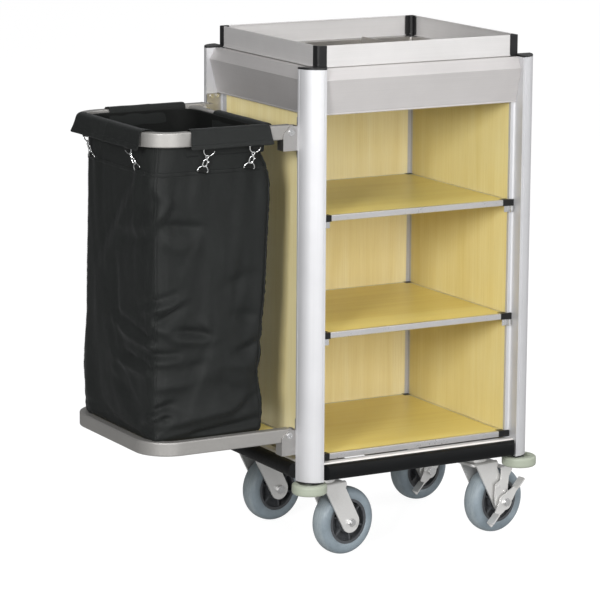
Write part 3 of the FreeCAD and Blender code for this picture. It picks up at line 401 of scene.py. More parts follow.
MATS = {
    "post": metal("post_aluminium_satin", "#bdbdbf", rough=0.5, metallic=0.45,
                  lines="upright", line_amount=0.035, smudge=0.035, bevel=0.0003),
    "header": metal("header_aluminium_satin", "#bab7b6", rough=0.5, metallic=0.5,
                    lines="level", line_amount=0.035, smudge=0.04),
    "gallery": metal("gallery_aluminium_satin", "#c9c7c6", rough=0.48, metallic=0.45,
                     lines="level", line_amount=0.035, smudge=0.04),
    "tray": metal("tray_stainless", "#a9a6a2", rough=0.36, lines="y", line_amount=0.06,
                  smudge=0.05),
    "trim": metal("trim_aluminium", "#d9d8d8", rough=0.32, line_amount=0.03, smudge=0.04,
                  bevel=0.0005),
    # the rail's pale base is raised to brighten it where it sits in shade: painted light
    "rail": metal("rail_aluminium", "#e0dedc", rough=0.46, metallic=0.5, lines="level",
                  smudge=0.04),
    "deck": metal("deck_zinc_plate", "#8f9192", rough=0.45, tint="#7c8084",
                  line_amount=0.06, smudge=0.08),
    "bracket": metal("bracket_satin_zinc", "#b3b1af", rough=0.38, line_amount=0.03,
                     smudge=0.05, bevel=0.0006, orange_peel=0.00002),
    "tube": metal("frame_tube_silver_coat", "#959390", rough=0.46, metallic=0.6,
                  line_amount=0.03, smudge=0.04, bevel=0.0008, orange_peel=0.00003, coat=0.12),
    "bright": metal("bright_steel", "#d6d6d6", rough=0.2, line_amount=0.02, smudge=0.05,
                    bevel=0.0002, edge_gain=0.3),
    "chrome": metal("chrome_plate", "#dcdddd", rough=0.12, line_amount=0.01, smudge=0.05,
                    bevel=0.0002, edge_gain=0.0),
    "zinc": metal("fork_zinc_plate", "#dad9d7", rough=0.34, metallic=0.6, line_amount=0.025,
                  smudge=0.04, bevel=0.0006, edge_gain=0.35),
    "black": plastic("black_nylon", "#121213", rough=0.42, edge_color="#3c3c3c", dust=0.03,
                     spec=0.3),
    "corner": plastic("black_corner_moulding", "#171718", rough=0.36, edge_color="#4a4a4a",
                      grain_depth=0.00002, dust=0.04, spec=0.35),
    "bumper": plastic("black_bumper_rubber", "#0b0c0d", rough=0.5, grain=900.0,
                      edge_color="#2c2d2d", lines=(2, 2, 1500), dust=0.01, spec=0.14),
    "hub": plastic("hub_nylon_grey", "#3e4043", rough=0.42, edge_color="#7b7e82", dust=0.10,
                   variation=0.15),
    "roller": plastic("roller_pale_plastic", "#959b8c", rough=0.45, edge_color="#b0b5a8",
                      spec=0.3, dust=0.06, variation=0.06, light="#a0a597"),
    "wood_z": wood("maple_laminate_upright", "z"),
    "wood_l": wood("maple_laminate_left", "z", gain=(1.0, 0.99, 0.92)),
    # the right panel's copy of the laminate is darkened by its gain: painted shade
    "wood_r_painted_shade": wood("maple_laminate_right_painted_shade", "z", gain=(0.80, 0.78, 0.62)),
    # the shelves' and platform board's copy is darker and more golden by its gain: painted shade
    "wood_x_painted_shade": wood("maple_laminate_shelf_painted_shade", "x", gain=(0.85, 0.80, 0.44)),
    "fabric": fabric("bag_polyester_weave", base="#1f2120", dark="#101111", sheen=0.05,
                     rough=0.56, spec=0.16),
    # a darker, rougher copy of the outer weave for the inside of the shell: painted shade inside
    # the bag
    "fabric_in_painted_shade": fabric("bag_polyester_inside_painted_shade", base="#111211", dark="#080908", sheen=0.02,
                        rough=0.75, spec=0.14),
    "webbing": fabric("bag_webbing", pitch=0.0019, base="#141514", dark="#090909",
                      sheen=0.03, rough=0.6, spec=0.2),
    "thread": fabric("bag_thread", pitch=0.0005, base="#262827", dark="#151615", sheen=0.04,
                     rough=0.5, spec=0.3),
}

# The pieces each material covers; a name may stand for a piece repeated at the corners.
PIECES = {
    "post": "corner_post", "corner": "post_caps gallery_corners",
    "black": "post_end_plugs shelf_corner_blocks platform_edge_seal",
    "wood_l": "side_panel_left", "wood_r_painted_shade": "side_panel_right", "wood_z": "back_panel",
    "wood_x_painted_shade": "upper_shelf middle_shelf bottom_shelf platform_board",
    "header": "header_rails", "tray": "top_tray tray_divider", "gallery": "gallery_panels",
    "trim": "shelf_trims platform_edge_trim", "rail": "base_rails", "deck": "base_deck",
    "bright": "shelf_clips bracket_screws hinge_pivot_bolts roller_bolts wheel_axle",
    "bumper": "bumper_strips", "bracket": "bag_frame_brackets platform_brackets",
    "zinc": "caster_plates caster_fork brake_housing brake_pedal",
    "tube": "bag_frame_tube platform_tube", "chrome": "snap_hooks", "hub": "wheel_hub",
    "roller": "bumper_roller",
}
MATERIAL_OF = {piece: MATS[key] for key, pieces in PIECES.items() for piece in pieces.split()}
for corner in CORNERS:
    low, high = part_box("wheel_tyre_" + corner)
    MATERIAL_OF["wheel_tyre_" + corner] = tyre("tyre_grey_rubber_" + corner,
                                               tuple((low + high) / 2))

for name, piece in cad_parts.items():
    if name != "laundry_bag":
        key = name if name in MATERIAL_OF else name.rpartition("_")[0]
        piece.data.materials.clear()
        piece.data.materials.append(MATERIAL_OF[key])


# =============================================================== mesh helpers
def mesh_piece(name, verts, faces, mat, uvs):
    """verts in corner-frame millimetres; uvs is one (u, v) in metres per vertex."""
    mesh = bpy.data.meshes.new(name)
    places = np.array(verts, float) / 1000.0 + (ORIGIN_X, ORIGIN_Y, 0.0)
    mesh.from_pydata([tuple(v) for v in places], [], faces)
    layer = mesh.uv_layers.new(name="weave")
    index = np.zeros(len(mesh.loops), int)
    mesh.loops.foreach_get("vertex_index", index)
    layer.data.foreach_set("uv", np.asarray(uvs, float)[index].ravel())
    mesh.materials.append(MATS[mat])
    mesh.polygons.foreach_set("use_smooth", [True] * len(mesh.polygons))
    mesh.update()
    piece = bpy.data.objects.new(name, mesh)
    bpy.context.scene.collection.objects.link(piece)
    return piece


def grid_faces(rows, cols, wrap=False):
    return [(i * cols + j, i * cols + (j + 1) % cols,
             (i + 1) * cols + (j + 1) % cols, (i + 1) * cols + j)
            for i in range(rows - 1) for j in range(cols if wrap else cols - 1)]


def rod_faces(rows, cols):
    """A closed section carried along rows, with both ends capped."""
    return grid_faces(rows, cols, wrap=True) + [
        tuple(range(cols))[::-1], tuple(range((rows - 1) * cols, rows * cols))]


PENDING = []                          # pieces waiting for bake_all


def bake_later(piece, subdivisions, **solidify):
    """Adds subdivision, and a thickness if its settings are given, for bake_all to apply."""
    subsurf = piece.modifiers.new("subsurf", "SUBSURF")
    assign(subsurf, levels=subdivisions, render_levels=subdivisions)
    if solidify:
        assign(piece.modifiers.new("solidify", "SOLIDIFY"), **solidify)
    PENDING.append(piece)


def bake_all():
    """Applies the modifiers of the waiting pieces, in a scene of their own."""
    scratch = bpy.data.scenes.new("bake_tmp")
    for piece in PENDING:
        scratch.collection.objects.link(piece)
    layer = scratch.view_layers[0]
    layer.update()
    graph = layer.depsgraph
    meshes = [bpy.data.meshes.new_from_object(
        piece.evaluated_get(graph), preserve_all_data_layers=True, depsgraph=graph)
        for piece in PENDING]
    for piece, mesh in zip(PENDING, meshes):
        piece.modifiers.clear()
        old = piece.data
        piece.data = mesh
        bpy.data.meshes.remove(old)
        mesh.name = piece.name
    bpy.data.scenes.remove(scratch)
    PENDING.clear()


def hang(piece):
    """The piece moves with the bag frame."""
    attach(piece, "bag_frame")


# ============================================================ laundry bag: cut
# Plan of the bag at each height.
LEVELS = np.array([
    # z, outer x, inner x, front y, back y,
    # corner radii: front outer, front inner, rear inner, rear outer
    (300.4, -312.0, -73.0, 84.0, 421.0, 14.0, 14.0, 24.0, 24.0),
    (304.0, -317.0, -68.5, 79.0, 427.0, 12.0, 11.0, 24.0, 24.0),
    (312.0, -319.5, -63.5, 76.5, 434.0, 11.0, 10.0, 24.0, 26.0),
    (324.0, -320.5, -60.5, 76.5, 440.0, 12.0, 10.0, 24.0, 28.0),
    (379.0, -322.0, -58.5, 77.5, 442.0, 18.0, 11.0, 24.0, 30.0),
    (407.0, -323.0, -64.0, 79.0, 442.0, 26.0, 12.0, 24.0, 32.0),
    (446.0, -323.0, -69.0, 79.0, 438.0, 32.0, 14.0, 24.0, 32.0),
    (477.0, -323.0, -61.5, 79.0, 433.0, 34.0, 12.0, 24.0, 32.0),
    (558.0, -322.5, -55.5, 79.0, 424.0, 36.0, 12.0, 24.0, 30.0),
    (680.0, -322.0, -50.0, 79.0, 416.0, 36.0, 12.0, 24.0, 28.0),
    (798.0, -321.5, -43.0, 78.0, 410.0, 36.0, 12.0, 24.0, 28.0),
    (850.0, -321.0, -44.5, 77.0, 412.0, 38.0, 15.0, 26.0, 32.0),
    (880.0, -321.0, -50.5, 75.5, 417.0, 40.0, 26.0, 34.0, 40.0),
    (903.0, -321.0, -56.0, 74.0, 422.5, 50.0, 42.0, 46.0, 50.0),
    (925.0, -321.0, -59.0, 72.5, 427.5, 57.0, 57.0, 57.0, 57.0),
    (953.0, -320.6, -59.4, 71.6, 428.4, 59.0, 59.0, 59.0, 59.0)])

SEAM_Z = 870.0                        # band seam that carries the hook tabs

# Cloth points round the bag: along a front or back face, a side face and a corner.
FACE_COLS, SIDE_COLS, CORNER_COLS = 38, 48, 12
RING_COLS = 2 * (FACE_COLS + SIDE_COLS) + 4 * CORNER_COLS
ROW_HEIGHTS = np.concatenate([
    np.linspace(953.0, SEAM_Z + 1, 13), np.linspace(SEAM_Z - 5, 330.0, 76),
    np.array([324.5, 319, 314, 309.5, 306, 303, 301.2])])
ROWS = len(ROW_HEIGHTS)

# Fold lines on the unrolled cloth, as (run, z). The run goes right of the front outer
# corner along the front face (negative: back along the outer face).
FOLDS = [  # from, to, height (below zero: a dent), half width
    ((-108, 794), (-20, 843), 3.5, 16), ((-8, 845), (30, 810), 6.0, 14),
    ((30, 810), (1, 772), 7.0, 13), ((-114, 750), (1, 768), 5.0, 18),
    ((14, 766), (104, 756), -8.0, 10), ((-126, 727), (0, 745), -3.5, 10),
    ((-52, 854), (-211, 660), 5.0, 14), ((-95, 843), (-254, 674), -3.5, 12),
    ((5, 736), (87, 709), 3.0, 22), ((46, 854), (34, 787), -2.5, 12),
    ((139, 857), (187, 743), -3.0, 20), ((216, 857), (252, 791), -2.5, 12),
    ((93, 861), (87, 803), 2.5, 12), ((-68, 586), (40, 619), -6.0, 10),
    ((-45, 582), (63, 602), 7.0, 12), ((63, 597), (2, 563), -6.5, 9),
    ((-154, 556), (-5, 523), -8.0, 9), ((-164, 538), (-10, 510), 7.0, 12),
    ((-10, 555), (57, 520), 4.0, 12), ((46, 540), (128, 527), -8.0, 10),
    ((46, 520), (135, 514), 6.5, 12), ((104, 558), (131, 529), 3.5, 9),
    ((-141, 480), (-20, 467), -8.0, 9), ((-163, 462), (-28, 453), 7.0, 11),
    ((-43, 492), (51, 493), -7.5, 9), ((-11, 478), (57, 477), 6.0, 11),
    ((163, 628), (223, 644), -4.5, 18), ((187, 566), (247, 555), -4.5, 14),
    ((187, 480), (250, 501), -5.5, 12), ((140, 458), (242, 453), 3.0, 16),
    ((69, 460), (116, 466), -4.0, 14), ((4, 424), (75, 427), 4.5, 14),
    ((-178, 416), (-112, 402), -4.0, 14), ((128, 422), (224, 395), -3.5, 18),
    ((-11, 372), (36, 387), -7.0, 8), ((-47, 339), (16, 369), 7.0, 8),
    ((17, 369), (45, 358), 5.0, 7), ((13, 356), (33, 361), -6.0, 6),
    ((16, 343), (224, 371), 5.5, 12), ((92, 318), (245, 333), -5.0, 10),
    ((188, 356), (248, 387), -4.5, 10), ((-248, 621), (-263, 476), 2.0, 16),
    ((-175, 666), (-164, 570), -2.5, 16), ((-301, 391), (-302, 335), 4.0, 18),
    ((140, 704), (175, 659), 3.0, 20)]
FOLD_GAIN = 1.9

# Snap hooks: (place along the bar, sideways lean in degrees).
END_HOOKS = ((-203.0, 12.0), (-95.0, 10.0))       # x, on both the front and back arms
OUTER_HOOKS = ((160.0, -24.0), (362.0, -4.0))     # y, on the outer bar
INNER_HOOKS = ((124.0, 6.0), (286.0, -6.0))       # y, on the crossbar

# (x, y) feet of the hooks, where they gather the cloth
HOOK_FEET = ([(x + shift, y) for x, _ in END_HOOKS for shift, y in ((-10, 70.0), (10, 430.0))]
             + [(-322.0, y - 16) for y, _ in OUTER_HOOKS]
             + [(-57.0, y) for y, _ in INNER_HOOKS])


def level_at(z):
    return [np.interp(z, LEVELS[:, 0], LEVELS[:, k]) for k in range(1, 9)]


def ring_at(z):
    """Points and outward normals at one height: front outer corner, front face, and on."""
    x0, x1, y0, y1, *radii = level_at(z)
    front_outer, front_inner, rear_inner, rear_outer = radii
    points, normals = [], []

    def corner(centre_x, centre_y, start, radius):
        for i in range(CORNER_COLS):
            angle = math.radians(start + 90.0 * (i + 0.5) / CORNER_COLS)
            normals.append((math.cos(angle), math.sin(angle)))
            points.append((centre_x + radius * math.cos(angle),
                           centre_y + radius * math.sin(angle)))

    def side(ax, ay, bx, by, count, normal):
        for i in range(count):
            t = (i + 0.5) / count
            points.append((ax + (bx - ax) * t, ay + (by - ay) * t))
            normals.append(normal)
    corner(x0 + front_outer, y0 + front_outer, 180.0, front_outer)
    side(x0 + front_outer, y0, x1 - front_inner, y0, FACE_COLS, (0, -1))
    corner(x1 - front_inner, y0 + front_inner, 270.0, front_inner)
    side(x1, y0 + front_inner, x1, y1 - rear_inner, SIDE_COLS, (1, 0))
    corner(x1 - rear_inner, y1 - rear_inner, 0.0, rear_inner)
    side(x1 - rear_inner, y1, x0 + rear_outer, y1, FACE_COLS, (0, 1))
    corner(x0 + rear_outer, y1 - rear_outer, 90.0, rear_outer)
    side(x0, y1 - rear_outer, x0, y0 + front_outer, SIDE_COLS, (-1, 0))
    return np.array(points), np.array(normals)


def ring_lengths(points):
    """Length of each step round a ring, and the running total from zero."""
    steps = np.linalg.norm(np.roll(points, -1, axis=0) - points, axis=1)
    return steps, np.concatenate([[0.0], np.cumsum(steps)])


def unroll(points):
    """Run of each point of a ring, from the middle of the front outer corner."""
    steps, total = ring_lengths(points)
    middle = (CORNER_COLS - 1) / 2.0
    whole = int(middle)
    run = total[:-1] - (total[whole] + (middle - whole) * steps[whole])
    return np.where(run > total[-1] / 2, run - total[-1], run)


def stroke(run, z, start, end, width, sign):
    """A fold's cross-section: gentle above and steep below (a dent the other way round)."""
    if end[0] < start[0]:
        start, end = end, start
    dx, dz = end[0] - start[0], end[1] - start[1]
    length = math.hypot(dx, dz)
    t = ((run - start[0]) * dx + (z - start[1]) * dz) / (length * length)
    t = min(1.0, max(0.0, t))
    off_x, off_z = run - start[0] - dx * t, z - start[1] - dz * t
    distance = math.hypot(off_x, off_z)
    above = (off_z * dx - off_x * dz) / length * sign     # over zero on the gentle side
    level = abs(dx) / length                              # upright folds are even
    wide = width * (1.0 + 0.30 * level * math.tanh(above / (0.3 * width)))
    taper = 0.30 + 0.70 * math.sin(math.pi * min(1.0, max(0.0, 0.10 + 0.80 * t)))
    return taper * math.exp(-(distance / wide) ** 2)


def fold_height(run, z, point):
    height = 0.0
    wider = 1.0 + 0.45 * smoothstep(-run / 50.0)          # broader on the outer face
    for start, end, amount, width in FOLDS:
        reach = 3 * width
        if (min(start[0], end[0]) - reach < run < max(start[0], end[0]) + reach
                and min(start[1], end[1]) - reach < z < max(start[1], end[1]) + reach):
            sign = 1.0 if amount > 0 else -1.0
            height += FOLD_GAIN * amount * stroke(run, z, start, end, width * wider, sign)
    # crumples on the inner and back faces away from the drawn folds, stronger low down
    hidden = 0.30 + 0.70 * max(smoothstep((run - 245.0) / 40.0),
                               smoothstep((-run - 330.0) / 40.0))
    low = smoothstep((700.0 - z) / 350.0)
    x, y, z = point[0] * 0.010, point[1] * 0.010, z * 0.0085
    height += hidden * (0.6 + low) * 4.6 * ripple(x, y, z)
    crease = abs(ripple(x * 2.3 + 7, y * 2.3, z * 3.4))
    height += hidden * low * 4.4 * (0.35 - crease * 1.6)
    height += 0.5 * ripple(x * 3.1, y * 3.1 + 3, z * 3.6)
    return height


def gather(point, z):
    """Small upright pleats where a hook pulls at the band, fading slower below it."""
    height = 0.0
    for x, y in HOOK_FEET:
        distance = math.hypot(point[0] - x, point[1] - y)
        if distance < 70:
            fade = math.exp(-(SEAM_Z - z) / 70.0 if z < SEAM_Z else -(z - SEAM_Z) / 22.0)
            height += fade * (2.6 * math.exp(-(distance / 13.0) ** 2)
                              - 1.6 * math.exp(-((distance - 27.0) / 11.0) ** 2))
    return height


def cut_cloth():
    """The shell as a grid of points, top row first."""
    grid = np.zeros((ROWS, RING_COLS, 3))
    for i, z in enumerate(ROW_HEIGHTS):
        points, normals = ring_at(z)
        x0, x1, y0, y1 = level_at(z)[:4]
        hold = (smoothstep((948.0 - z) / 60.0)
                * (0.35 + 0.65 * smoothstep((930.0 - z) / 160.0)))
        foot = smoothstep((z - 300.0) / 14.0)
        for j, (point, normal, run) in enumerate(zip(points, normals, unroll(points))):
            height = fold_height(run, z, point) * hold * foot + gather(point, z)
            # the faces belly out a little between the corner seams
            on_end = abs(normal[1]) > 0.99
            if on_end or abs(normal[0]) > 0.99:
                t = (point[0] - x0) / (x1 - x0) if on_end else (point[1] - y0) / (y1 - y0)
                height += 2.5 * math.sin(math.pi * t) * hold * foot
            grid[i, j] = (*(point + normal * height), z)
    return grid


# ========================================================= laundry bag: settle
SETTLE_FRAMES = 30
CACHE_END = 40
SETTLE_SHARE = 0.35                   # how much of the settled shape is kept
SETTLE_REACH = 14.0                   # movement beyond this is cut off before sharing


def pin_weight(z):
    """Firm at the top band and the foot, easing off towards the free cloth between."""
    if z > 862.0 or z < 312.0:
        return 1.0
    if z >= 800.0:
        return 0.6 * float(smoothstep((z - 800.0) / 62.0))
    if z < 340.0:
        return 0.4 * (340.0 - z) / 28.0
    return 0.0


def settle(grid):
    """A short cloth run under slight pressure, with the shell cut a little too large."""
    mesh = bpy.data.meshes.new("cloth_tmp")
    verts = grid.reshape(-1, 3) / 1000.0
    mesh.from_pydata([tuple(v) for v in verts], [], grid_faces(ROWS, RING_COLS, wrap=True))
    shell = bpy.data.objects.new("cloth_tmp", mesh)
    bpy.context.scene.collection.objects.link(shell)
    pin = shell.vertex_groups.new(name="pin")
    for i in range(ROWS):
        weight = pin_weight(grid[i, 0, 2])
        if weight > 0:
            pin.add(list(range(i * RING_COLS, (i + 1) * RING_COLS)), weight, "REPLACE")
    cloth = shell.modifiers.new("cloth", "CLOTH")
    assign(cloth.settings, quality=6, mass=0.25, vertex_group_mass="pin",
           tension_stiffness=15.0, compression_stiffness=15.0, shear_stiffness=8.0,
           bending_stiffness=2.5, tension_damping=8.0, compression_damping=8.0,
           shear_damping=8.0, air_damping=2.0, shrink_min=-0.006, use_pressure=True,
           uniform_pressure_force=0.15)
    assign(cloth.collision_settings, use_collision=False, use_self_collision=False)
    assign(cloth.point_cache, frame_start=1, frame_end=CACHE_END)
    scene = bpy.context.scene
    assign(scene, frame_start=1, frame_end=CACHE_END)
    for i in range(1, SETTLE_FRAMES + 1):
        scene.frame_set(i)
    settled = shell.evaluated_get(bpy.context.evaluated_depsgraph_get())
    places = np.zeros(ROWS * RING_COLS * 3)
    settled.data.vertices.foreach_get("co", places)
    scene.frame_set(1)
    bpy.data.objects.remove(shell)
    bpy.data.meshes.remove(mesh)
    moved = places.reshape(grid.shape) * 1000.0 - grid
    length = np.linalg.norm(moved, axis=2, keepdims=True)
    return grid + SETTLE_SHARE * moved * np.minimum(1.0, SETTLE_REACH / np.maximum(length, 1e-6))


def confine(grid):
    """Keeps the cloth clear of its neighbours and inside the frames it hangs in."""
    grid = grid.copy()
    x, y, z = grid[..., 0], grid[..., 1], grid[..., 2]
    top = smoothstep((z - 905.0) / 18.0)
    heights = [300.0, 325.0, 850.0, 866.0]
    x[:] = np.minimum(x, np.interp(z, [300.0, 855.0, 868.0, 905.0, 922.0],
                                   [-38.0, -38.0, -50.5, -51.5, -58.5]))
    x[:] = np.maximum(x, np.interp(z, heights, [-326.0, -337.0, -337.0, -328.5]) + 7.0 * top)
    y[:] = np.maximum(y, np.interp(z, heights, [69.0, 62.0, 62.0, 70.8]) + 1.0 * top)
    y[:] = np.minimum(y, 443.0 - 14.0 * top)
    z[:] = np.maximum(z, BOARD_TOP + 1.3)
    # the foot of the bag stays inside the platform's tubes
    low = z < 311.0
    x[low] = np.maximum(x[low], -320.0)
    y[low] = np.clip(y[low], 71.5, 428.5)
    return grid


def grid_normals(grid):
    """Normals pointing out of the bag."""
    around = np.roll(grid, -1, axis=1) - np.roll(grid, 1, axis=1)
    up = np.zeros_like(grid)
    up[1:-1] = grid[:-2] - grid[2:]
    up[0], up[-1] = grid[0] - grid[1], grid[-2] - grid[-1]
    normals = np.cross(around, up)
    normals = normals / np.maximum(np.linalg.norm(normals, axis=2, keepdims=True), 1e-9)
    outward = grid - grid.mean(axis=(0, 1))
    return -normals if np.einsum("ijk,ijk->ij", normals, outward).mean() < 0 else normals


CLOTH = cut_cloth()
CLOTH = settle(CLOTH)
CLOTH = confine(CLOTH)
CLOTH_NORMALS = grid_normals(CLOTH)


def cloth_at(col, row):
    """Cloth point and outward normal at fractional column and row."""
    row = min(max(row, 0.0), ROWS - 1.0)
    i = min(int(row), ROWS - 2)
    down = row - i
    j = int(math.floor(col)) % RING_COLS
    k = (j + 1) % RING_COLS
    along = col - math.floor(col)

    def blend(grid):
        return ((grid[i, j] * (1 - along) + grid[i, k] * along) * (1 - down)
                + (grid[i + 1, j] * (1 - along) + grid[i + 1, k] * along) * down)
    return blend(CLOTH), unit(blend(CLOTH_NORMALS))


# ========================================================== laundry bag: shell
FLOOR_RINGS = 12


def bag_shell():
    columns = ring_lengths(ring_at(600.0)[0])[1] / 1000.0     # weave runs, from one height
    verts = [tuple(p) for p in CLOTH.reshape(-1, 3)]
    uvs = [(columns[j], z / 1000.0) for z in ROW_HEIGHTS for j in range(RING_COLS)]
    faces = grid_faces(ROWS, RING_COLS, wrap=True)
    # the floor of the bag: rings drawn in to the middle, with a few soft creases
    base = len(verts) - RING_COLS
    rim = CLOTH[-1]
    centre_x, centre_y = rim[:, 0].mean(), rim[:, 1].mean()
    for k in range(1, FLOOR_RINGS):
        t = 1 - k / FLOOR_RINGS
        for j in range(RING_COLS):
            x = centre_x + (rim[j, 0] - centre_x) * t
            y = centre_y + (rim[j, 1] - centre_y) * t
            crease = max(0.0, ripple(x * 0.02, y * 0.02, 4.0)) * min(1.0, k / 3.0)
            verts.append((x, y, BOARD_TOP + 1.4 + 2.2 * crease))
            uvs.append((x / 1000.0, y / 1000.0))
        faces += [tuple(base + v for v in face)
                  for face in grid_faces(2, RING_COLS, wrap=True)]
        base += RING_COLS
    centre = len(verts)
    verts.append((centre_x, centre_y, BOARD_TOP + 1.6))
    uvs.append((centre_x / 1000.0, centre_y / 1000.0))
    faces += [(base + j, base + (j + 1) % RING_COLS, centre) for j in range(RING_COLS)]
    return mesh_piece("laundry_bag_body", verts, [f[::-1] for f in faces], "fabric", uvs)


bag = bag_shell()
# the inside of the shell takes the darker copy of the weave: painted shade
bag.data.materials.append(MATS["fabric_in_painted_shade"])
bake_later(bag, subdivisions=1, thickness=0.0011, offset=-1.0, use_rim=True,
           use_even_offset=False, material_offset=1)


# =============================================== laundry bag: seams and hems
# Half of a flat fold's section and back: (across, up), as shares of width and height
SEAM_SECTION = [(-0.5, 0.0), (-0.46, 0.75), (-0.3, 1.0), (0.0, 0.86), (0.3, 1.0),
                (0.46, 0.75), (0.5, 0.0)]


def felled_seam(name, path, width, height, pucker, mat="fabric"):
    """A sewn fold lying on the bag, rippled by its thread; path gives (col, row) stations."""
    verts, uvs = [], []
    stations = [cloth_at(col, row) for col, row in path]
    rows, cols = len(stations), len(SEAM_SECTION)
    run = 0.0
    for i, (point, normal) in enumerate(stations):
        before, after = stations[max(0, i - 1)][0], stations[min(rows - 1, i + 1)][0]
        side = unit(np.cross(normal, unit(after - before)))
        if i:
            run += float(np.linalg.norm(point - before))
        swell = 1.0 + pucker * ripple(run * 0.11, 3.1, rows * 0.01)
        for across, up in SEAM_SECTION:
            waver = 1 + 0.06 * ripple(run * 0.2, across, 1.0)
            verts.append(point + side * (across * width * waver)
                         + normal * (up * height * swell - 0.25))
            uvs.append((run / 1000.0, across * width / 1000.0))
    faces = grid_faces(rows, cols)
    faces.append(tuple(range(cols)))
    faces.append(tuple(range((rows - 1) * cols, rows * cols))[::-1])
    for i in range(rows - 1):         # the underside
        faces.append((i * cols + cols - 1, i * cols,
                      (i + 1) * cols, (i + 1) * cols + cols - 1))
    return mesh_piece(name, verts, faces, mat, uvs)


# One stitch: (place along its length, share of the radius)
STITCH_STATIONS = ((-0.5, 0.35), (-0.32, 1.0), (0.32, 1.0), (0.5, 0.35))
STITCH_SIDES = 6
STITCH_FACES = rod_faces(len(STITCH_STATIONS), STITCH_SIDES)


def add_stitch(verts, faces, point, direction, normal, length, radius):
    """A short tapered bead of thread lying on the cloth."""
    direction = unit(direction)
    side = unit(np.cross(normal, direction))
    faces += [tuple(len(verts) + v for v in face) for face in STITCH_FACES]
    for place, share in STITCH_STATIONS:
        for i in range(STITCH_SIDES):
            angle = math.pi * i / 3
            spoke = (side * math.cos(angle) + normal * math.sin(angle)) * radius * share
            verts.append(point + direction * (place * length) + spoke
                         + normal * (0.3 * (1 - abs(place) * 2)))


def stitch_rows(name, lines, lift, pitch=5.0, length=3.3, radius=0.32):
    """Rows of stitches along lists of (point, normal)."""
    verts, faces = [], []
    for line in lines:
        place = 0.0
        for (start, start_normal), (end, end_normal) in zip(line, line[1:]):
            step = end - start
            span = float(np.linalg.norm(step))
            if span < 1e-6:
                continue
            while place < span:
                t = place / span
                normal = start_normal * (1 - t) + end_normal * t
                add_stitch(verts, faces, start + step * t + normal * lift, step, normal,
                           length, radius)
                place += pitch
            place -= span
    return mesh_piece(name, verts, faces, "thread", [(v[0] / 1000, v[2] / 1000) for v in verts])


# columns at the middle of the corners
FL_COL = CORNER_COLS / 2.0 - 0.5
FR_COL = FL_COL + CORNER_COLS + FACE_COLS
RR_COL = FR_COL + CORNER_COLS + SIDE_COLS
RL_COL = RR_COL + CORNER_COLS + FACE_COLS
SEAM_ROW = float(np.interp(-SEAM_Z, -ROW_HEIGHTS, np.arange(ROWS)))
FULL_RING = np.arange(0.0, RING_COLS + 0.5, 0.5)

soft = [bag]                          # pieces hung on the bag frame after the bake
seam_lines = []
for tag, col in (("fl", FL_COL), ("fr", FR_COL), ("rr", RR_COL), ("rl", RL_COL)):
    path = [(col + 0.10 * ripple(row * 0.4, 1.0, col), row)
            for row in np.arange(2.0, ROWS - 2.0, 0.5)]
    # the front inner seam stands proudest
    size = (dict(width=7.5, height=2.2, pucker=0.9) if tag == "fr"
            else dict(width=6.5, height=1.2, pucker=0.5))
    soft.append(felled_seam("bag_corner_seam_" + tag, path, **size))
    for shift in (-0.8, 0.8):
        seam_lines.append([cloth_at(col + shift, row) for row in np.arange(2.0, ROWS - 2.0, 1.0)])
path = [(col, SEAM_ROW + 0.12 * ripple(col * 0.5, 2.0, 0.0)) for col in FULL_RING]
soft.append(felled_seam("bag_band_seam", path, width=9.0, height=1.5, pucker=0.2))
soft.append(stitch_rows("bag_body_stitching", seam_lines, lift=1.2))
band_lines = [[cloth_at(col, SEAM_ROW + shift) for col in np.arange(0.0, RING_COLS + 0.5, 1.0)]
              for shift in (-0.35, 0.45)]
soft.append(stitch_rows("bag_band_stitching", band_lines, lift=1.25))
soft.append(felled_seam("bag_top_binding", [(col, 0.4) for col in FULL_RING],
                        width=9.0, height=1.0, pucker=0.35, mat="webbing"))


# ================================================= laundry bag: collar flaps
# Section over a bar, as (out from its outer face, z from the tube's top): up the inner
# face, over the top and down outside. The hem's points follow from the drop.
COLLAR_PROFILE = [
    (-24.8, -56.0), (-24.6, -40.0), (-24.2, -24.0), (-23.6, -10.0), (-22.6, -3.0),
    (-20.6, 1.4), (-17.0, 3.3), (-12.0, 3.9), (-7.0, 3.7), (-2.6, 2.6), (0.6, 0.0),
    (2.2, -4.0), (3.0, -9.0), (4.0, -15.0), (5.2, -21.0), (6.6, -27.0)]


def bend_x(y, radius):
    """x of the outer bar's face at y, following the bends at its ends."""
    past = max(0.0, TUBE_FRONT_Y + BEND_OUTER - y, y - (TUBE_BACK_Y - BEND_OUTER))
    return BEND_X - math.sqrt(max(radius * radius - past * past, 0.0))


def over_outer(run, out, z):
    share = smoothstep((out + TUBE_WIDTH) / TUBE_WIDTH)
    outside = TUBE_OUTER_X * 0.75 + bend_x(run, BEND_OUTER) * 0.25
    inside = bend_x(run, BEND_INNER) - TUBE_WIDTH
    return (outside * share + inside * (1 - share)) - out, run, z


def over_front(run, out, z):
    share = smoothstep((out + TUBE_WIDTH) / TUBE_WIDTH)
    past = max(0.0, BEND_X - run)
    inner_y = TUBE_FRONT_Y + TUBE_WIDTH + (
        BEND_INNER - math.sqrt(max(BEND_INNER ** 2 - past * past, 0.0)))
    return run, TUBE_FRONT_Y * share + (inner_y - TUBE_WIDTH) * (1 - share) - out, z


def over_back(run, out, z):
    x, y, z = over_front(run, out, z)
    return x, CART_DEPTH - y, z


def over_crossbar(run, out, z):
    return CROSSBAR_FACE_X + out * 0.95, run, z - CROSSBAR_DROP


